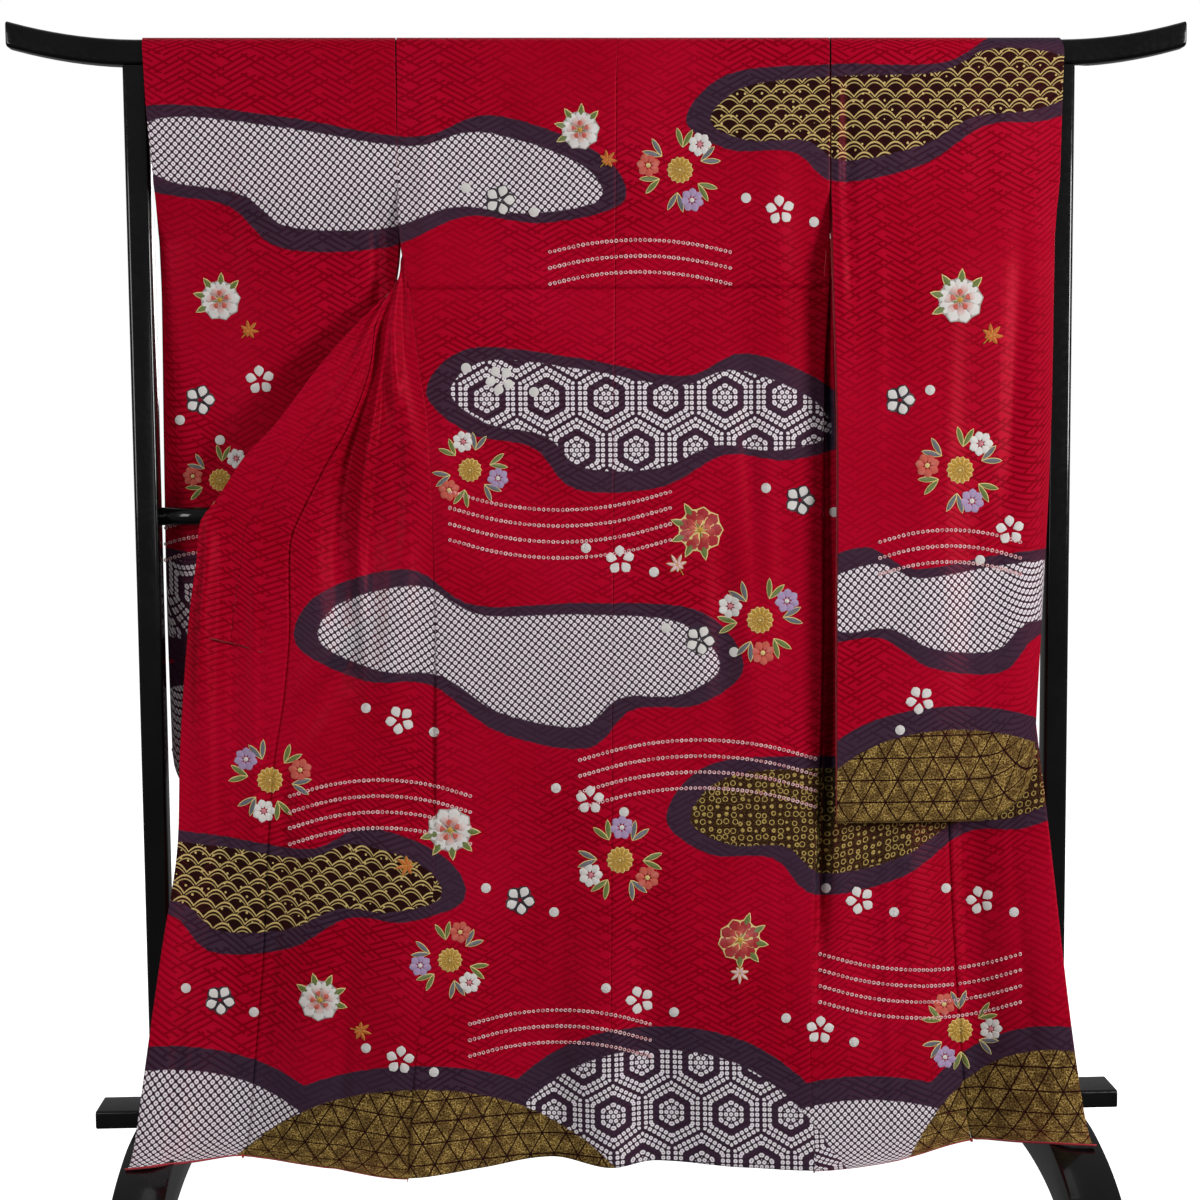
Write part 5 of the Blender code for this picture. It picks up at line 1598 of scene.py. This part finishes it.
LEFT_SLEEVE_DEPTH = 0.020
RIGHT_SLEEVE_DEPTH = -0.068
BLOSSOMS = (
    (500, 200), (780, 210), (500, 380), (800, 500), (620, 560), (400, 720), (700, 640), (590, 800),
    (860, 900), (520, 900), (820, 1030), (640, 1000), (220, 1000), (400, 1060), (980, 900),
)
LEFT_BLOSSOMS = ((200, 400), (260, 380), (240, 660))
RIGHT_BLOSSOMS = ((900, 400), (1010, 530), (920, 700))
SPOTS = tuple((x + 34 * side, y + 12 * side) for x, y in BLOSSOMS for side in (-1, 1))
LEFT_SPOTS = ((180, 420), (220, 440), (200, 640))
RIGHT_SPOTS = ((930, 390), (980, 560), (900, 730))


def knot_rows(x, y, reach, bend, rows=4):
    """Bowed rows of tied knots, one under another."""
    steps = (-1.0, -0.6, -0.2, 0.2, 0.6, 1.0)
    levels = (y + KNOT_ROW_STEP * row for row in range(rows))
    return tuple(tuple((x + reach * a, level + bend * a**2) for a in steps) for level in levels)


BODY_KNOTS = (
    *knot_rows(640, 240, 90, 12, 3), *knot_rows(560, 510, 110, -18), *knot_rows(700, 740, 120, 20),
    *knot_rows(380, 780, 90, 16), *knot_rows(920, 970, 100, -16), *knot_rows(560, 1010, 90, 14, 3),
)
LEFT_KNOTS = knot_rows(210, 520, 50, 10, 3)
RIGHT_KNOTS = knot_rows(950, 530, 70, 12, 3)


def make_bead_lines(name, cloth, lines, depth):
    """Lines of small tied knots, one after another along smooth curves on the cloth."""
    curve = bpy.data.curves.new(name, "CURVE")
    curve.dimensions = "3D"
    runs = []
    for line in lines:
        runs.append([])
        for x, z in place(open_curve(line, 10), depth):
            hit, normal, _, _ = land(cloth, x, z, depth)
            if hit and normal.y < -0.7:
                tilt = math.sqrt(max(0.0, 1.0 - normal.y**2))
                runs[-1].append(hit - Vector((0.0, THREAD_CLEAR + 0.8 * BEAD_SIZES["Bead"] * tilt, 0.0)))
            elif runs[-1]:
                runs.append([])
    for places in runs:
        if len(places) < 2:
            continue
        spline = curve.splines.new("POLY")
        spline.points.add(len(places) - 1)
        for point, place_at in zip(spline.points, places):
            point.co = (*place_at, 1.0)
    path = bpy.data.objects.new(name + "_path", curve)
    bpy.context.scene.collection.objects.link(path)
    beads = path.modifiers.new("beads", "NODES")
    beads.node_group = BEAD_TREE
    for socket in BEAD_TREE.interface.items_tree:
        if socket.name in BEAD_SIZES:
            beads[socket.identifier] = BEAD_SIZES[socket.name]
    made = path.evaluated_get(bpy.context.evaluated_depsgraph_get())
    mesh = bpy.data.meshes.new_from_object(made)
    mesh.name = name
    bpy.data.objects.remove(path)
    piece = bpy.data.objects.new(name, mesh)
    bpy.context.scene.collection.objects.link(piece)
    return finish_piece(piece, "crimson_silk")


BEAD_SIZES = {"Pitch": 0.0068, "Bead": 0.0021, "Thread": 0.0009}


def make_bead_tree(material):
    """Knots set out along a curve: a small ring at each step, as a tied knot leaves."""
    tree = bpy.data.node_groups.new("knots_along_a_line", "GeometryNodeTree")
    tree.interface.new_socket("Geometry", in_out="INPUT", socket_type="NodeSocketGeometry")
    for label, value in BEAD_SIZES.items():
        size = tree.interface.new_socket(label, in_out="INPUT", socket_type="NodeSocketFloat")
        size.default_value = value
    tree.interface.new_socket("Geometry", in_out="OUTPUT", socket_type="NodeSocketGeometry")
    nodes = {}
    for label, kind in (
        ("given", "NodeGroupInput"), ("steps", "GeometryNodeCurveToPoints"),
        ("ring", "GeometryNodeCurvePrimitiveCircle"), ("thread", "GeometryNodeCurvePrimitiveCircle"),
        ("knot", "GeometryNodeCurveToMesh"),
        ("shape", "GeometryNodeTransform"), ("set", "GeometryNodeInstanceOnPoints"),
        ("vary", "FunctionNodeRandomValue"), ("real", "GeometryNodeRealizeInstances"),
        ("finish", "GeometryNodeSetMaterial"), ("smooth", "GeometryNodeSetShadeSmooth"),
        ("made", "NodeGroupOutput"),
    ):
        nodes[label] = tree.nodes.new(kind)
    nodes["steps"].mode = "LENGTH"
    nodes["ring"].inputs["Resolution"].default_value = 7
    nodes["thread"].inputs["Resolution"].default_value = 4
    nodes["shape"].inputs["Rotation"].default_value = (math.pi / 2, 0.0, 0.0)
    nodes["vary"].data_type = "FLOAT_VECTOR"
    nodes["vary"].inputs[0].default_value = (0.85, 1.0, 0.85)
    nodes["vary"].inputs[1].default_value = (1.12, 1.0, 1.12)
    nodes["vary"].inputs["Seed"].default_value = 4
    nodes["finish"].inputs["Material"].default_value = material
    for source, out, target, into in (
        ("given", "Geometry", "steps", "Curve"), ("given", "Pitch", "steps", "Length"),
        ("given", "Bead", "ring", "Radius"), ("given", "Thread", "thread", "Radius"),
        ("ring", "Curve", "knot", "Curve"),
        ("thread", "Curve", "knot", "Profile Curve"), ("knot", "Mesh", "shape", "Geometry"),
        ("steps", "Points", "set", "Points"), ("shape", "Geometry", "set", "Instance"),
        ("vary", "Value", "set", "Scale"),
        ("set", "Instances", "real", "Geometry"), ("real", "Geometry", "smooth", "Geometry"),
        ("smooth", "Geometry", "finish", "Geometry"), ("finish", "Geometry", "made", "Geometry"),
    ):
        tree.links.new(nodes[source].outputs[out], nodes[target].inputs[into])
    return tree


def make_knot_white():
    """Bound silk left undyed: white blushed with the red, in uneven random patches."""
    knot = Shades("undyed_knotted_silk", Roughness=0.6)
    place_on = knot.add("TexCoord", out=3)
    tone = knot.add("TexNoise", place_on, None, 160.0, 1.0)
    return knot.finish(Base_Color=knot.add("ValToRGB", tone, ramp=((0.35, "#D98F96"), (0.55, "#F2C9CB"))))


BEAD_TREE = make_bead_tree(make_knot_white())


def flower_round(work, at, radius, turn):
    """A chrysanthemum in a ring of leaves and small blossoms."""
    def round_at(angle, share):
        return (at[0] + share * radius * math.cos(angle), at[1] + share * radius * math.sin(angle))

    for i in range(6):
        angle = turn + i * math.pi / 3
        shade, angles = GREEN if i % 2 else SLATE, (angle - 0.4, angle + 0.4)
        work.leaves(round_at(angle, 0.5), radius * 0.46, shade, PALE_GOLD, angles)
    for i, (shade, heart) in enumerate(((WHITE, ROSE), (CORAL, PALE_GOLD), (LILAC, WHITE))):
        angle = turn + 0.5 + i * math.tau / 3
        work.blossom(round_at(angle, 0.72), radius * 0.55, shade, heart, petals=7, turn=angle)
    work.many_petals(at, radius * 0.6, DARK_GOLD, GOLD, PALE_GOLD, PALE_GOLD, layers=3, petals=14)


def peony_spray(work, at, size, white, turn):
    """A peony with leaves and a maple leaf beside it."""
    work.leaves(at, size * 0.62, GREEN, PALE_GOLD, tuple(turn + 0.7 * i for i in range(5)))
    beside = (at[0] + size * 0.9 * math.cos(turn), at[1] - size * 0.7)
    work.maple(beside, size * 0.5, ORANGE if white else PINK, GOLD, turn)
    if white:
        work.peony(at, size, WHITE, CORAL, "#B8AFA8", turn)
    else:
        work.peony(at, size, RED, CORAL, PALE_GOLD, turn)


def embroider(depth, blossoms, spots, rounds, peonies):
    """The flowers of one group of pieces, all given in pixels of the frame."""
    work = Needlework()
    for i, (x, y) in enumerate(blossoms):
        ground = None if i % 3 else RIVER
        work.blossom(spot(x, y, depth), BLOSSOM_SIZE * PIXEL, turn=0.4 * i, ground=ground)
    for x, y in spots:
        work.disc(spot(x, y, depth), SPOT_RADIUS * PIXEL, lambda r, a: colour(WHITE), sectors=14, rings=4)
    for i, (x, y, radius) in enumerate(rounds):
        flower_round(work, spot(x, y, depth), radius * PIXEL, 0.4 + 0.9 * i)
    for i, (x, y, size) in enumerate(peonies):
        peony_spray(work, spot(x, y, depth), size * PIXEL, i % 2 == 0, 0.8 + 1.3 * i)
    return work


def body_needlework():
    rounds = (
        (680, 170, 44), (470, 470, 40), (760, 620, 46), (620, 860, 46), (270, 780, 44), (450, 960, 42),
        (960, 1030, 44),
    )
    peonies = ((580, 130, 42), (700, 530, 50), (450, 830, 50), (740, 940, 48), (320, 1000, 46))
    return embroider(None, BLOSSOMS, SPOTS, rounds, peonies)


def left_needlework():
    return embroider(LEFT_SLEEVE_DEPTH, LEFT_BLOSSOMS, LEFT_SPOTS, ((220, 480, 38),), ((220, 300, 44),))


def right_needlework():
    return embroider(RIGHT_SLEEVE_DEPTH, RIGHT_BLOSSOMS, RIGHT_SPOTS, ((960, 470, 46),), ((960, 300, 50),))


make_stand()
make_body("body_left", LEFT)
make_body("body_right", RIGHT)
make_overlap("overlap_left", LEFT)
make_overlap("overlap_right", RIGHT)
make_collar()
left_folds = (*LEFT_SLEEVE_FOLDS, *LEFT_SLEEVE_CREASES)
right_folds = (*RIGHT_SLEEVE_FOLDS, *RIGHT_SLEEVE_CREASES)
make_sleeve("sleeve_left", LEFT_SLEEVE, left_folds, -1, LEFT_SLEEVE_FIELDS, LEFT_SLEEVE_DEPTH)
make_sleeve("sleeve_right", RIGHT_SLEEVE, right_folds, 1, RIGHT_SLEEVE_FIELDS, RIGHT_SLEEVE_DEPTH)
BODY_NAMES = ("body_left", "body_right", "overlap_left", "overlap_right", "collar")
for label, names, work, lines, depth in (
    ("front", BODY_NAMES, body_needlework, BODY_KNOTS, None),
    ("left_sleeve", ("sleeve_left",), left_needlework, LEFT_KNOTS, LEFT_SLEEVE_DEPTH),
    ("right_sleeve", ("sleeve_right",), right_needlework, RIGHT_KNOTS, RIGHT_SLEEVE_DEPTH),
):
    cloth = tree_of(*names)
    work().make("embroidery_" + label, cloth, depth)
    make_bead_lines("knot_lines_" + label, cloth, lines, depth)
make_camera()
make_studio()
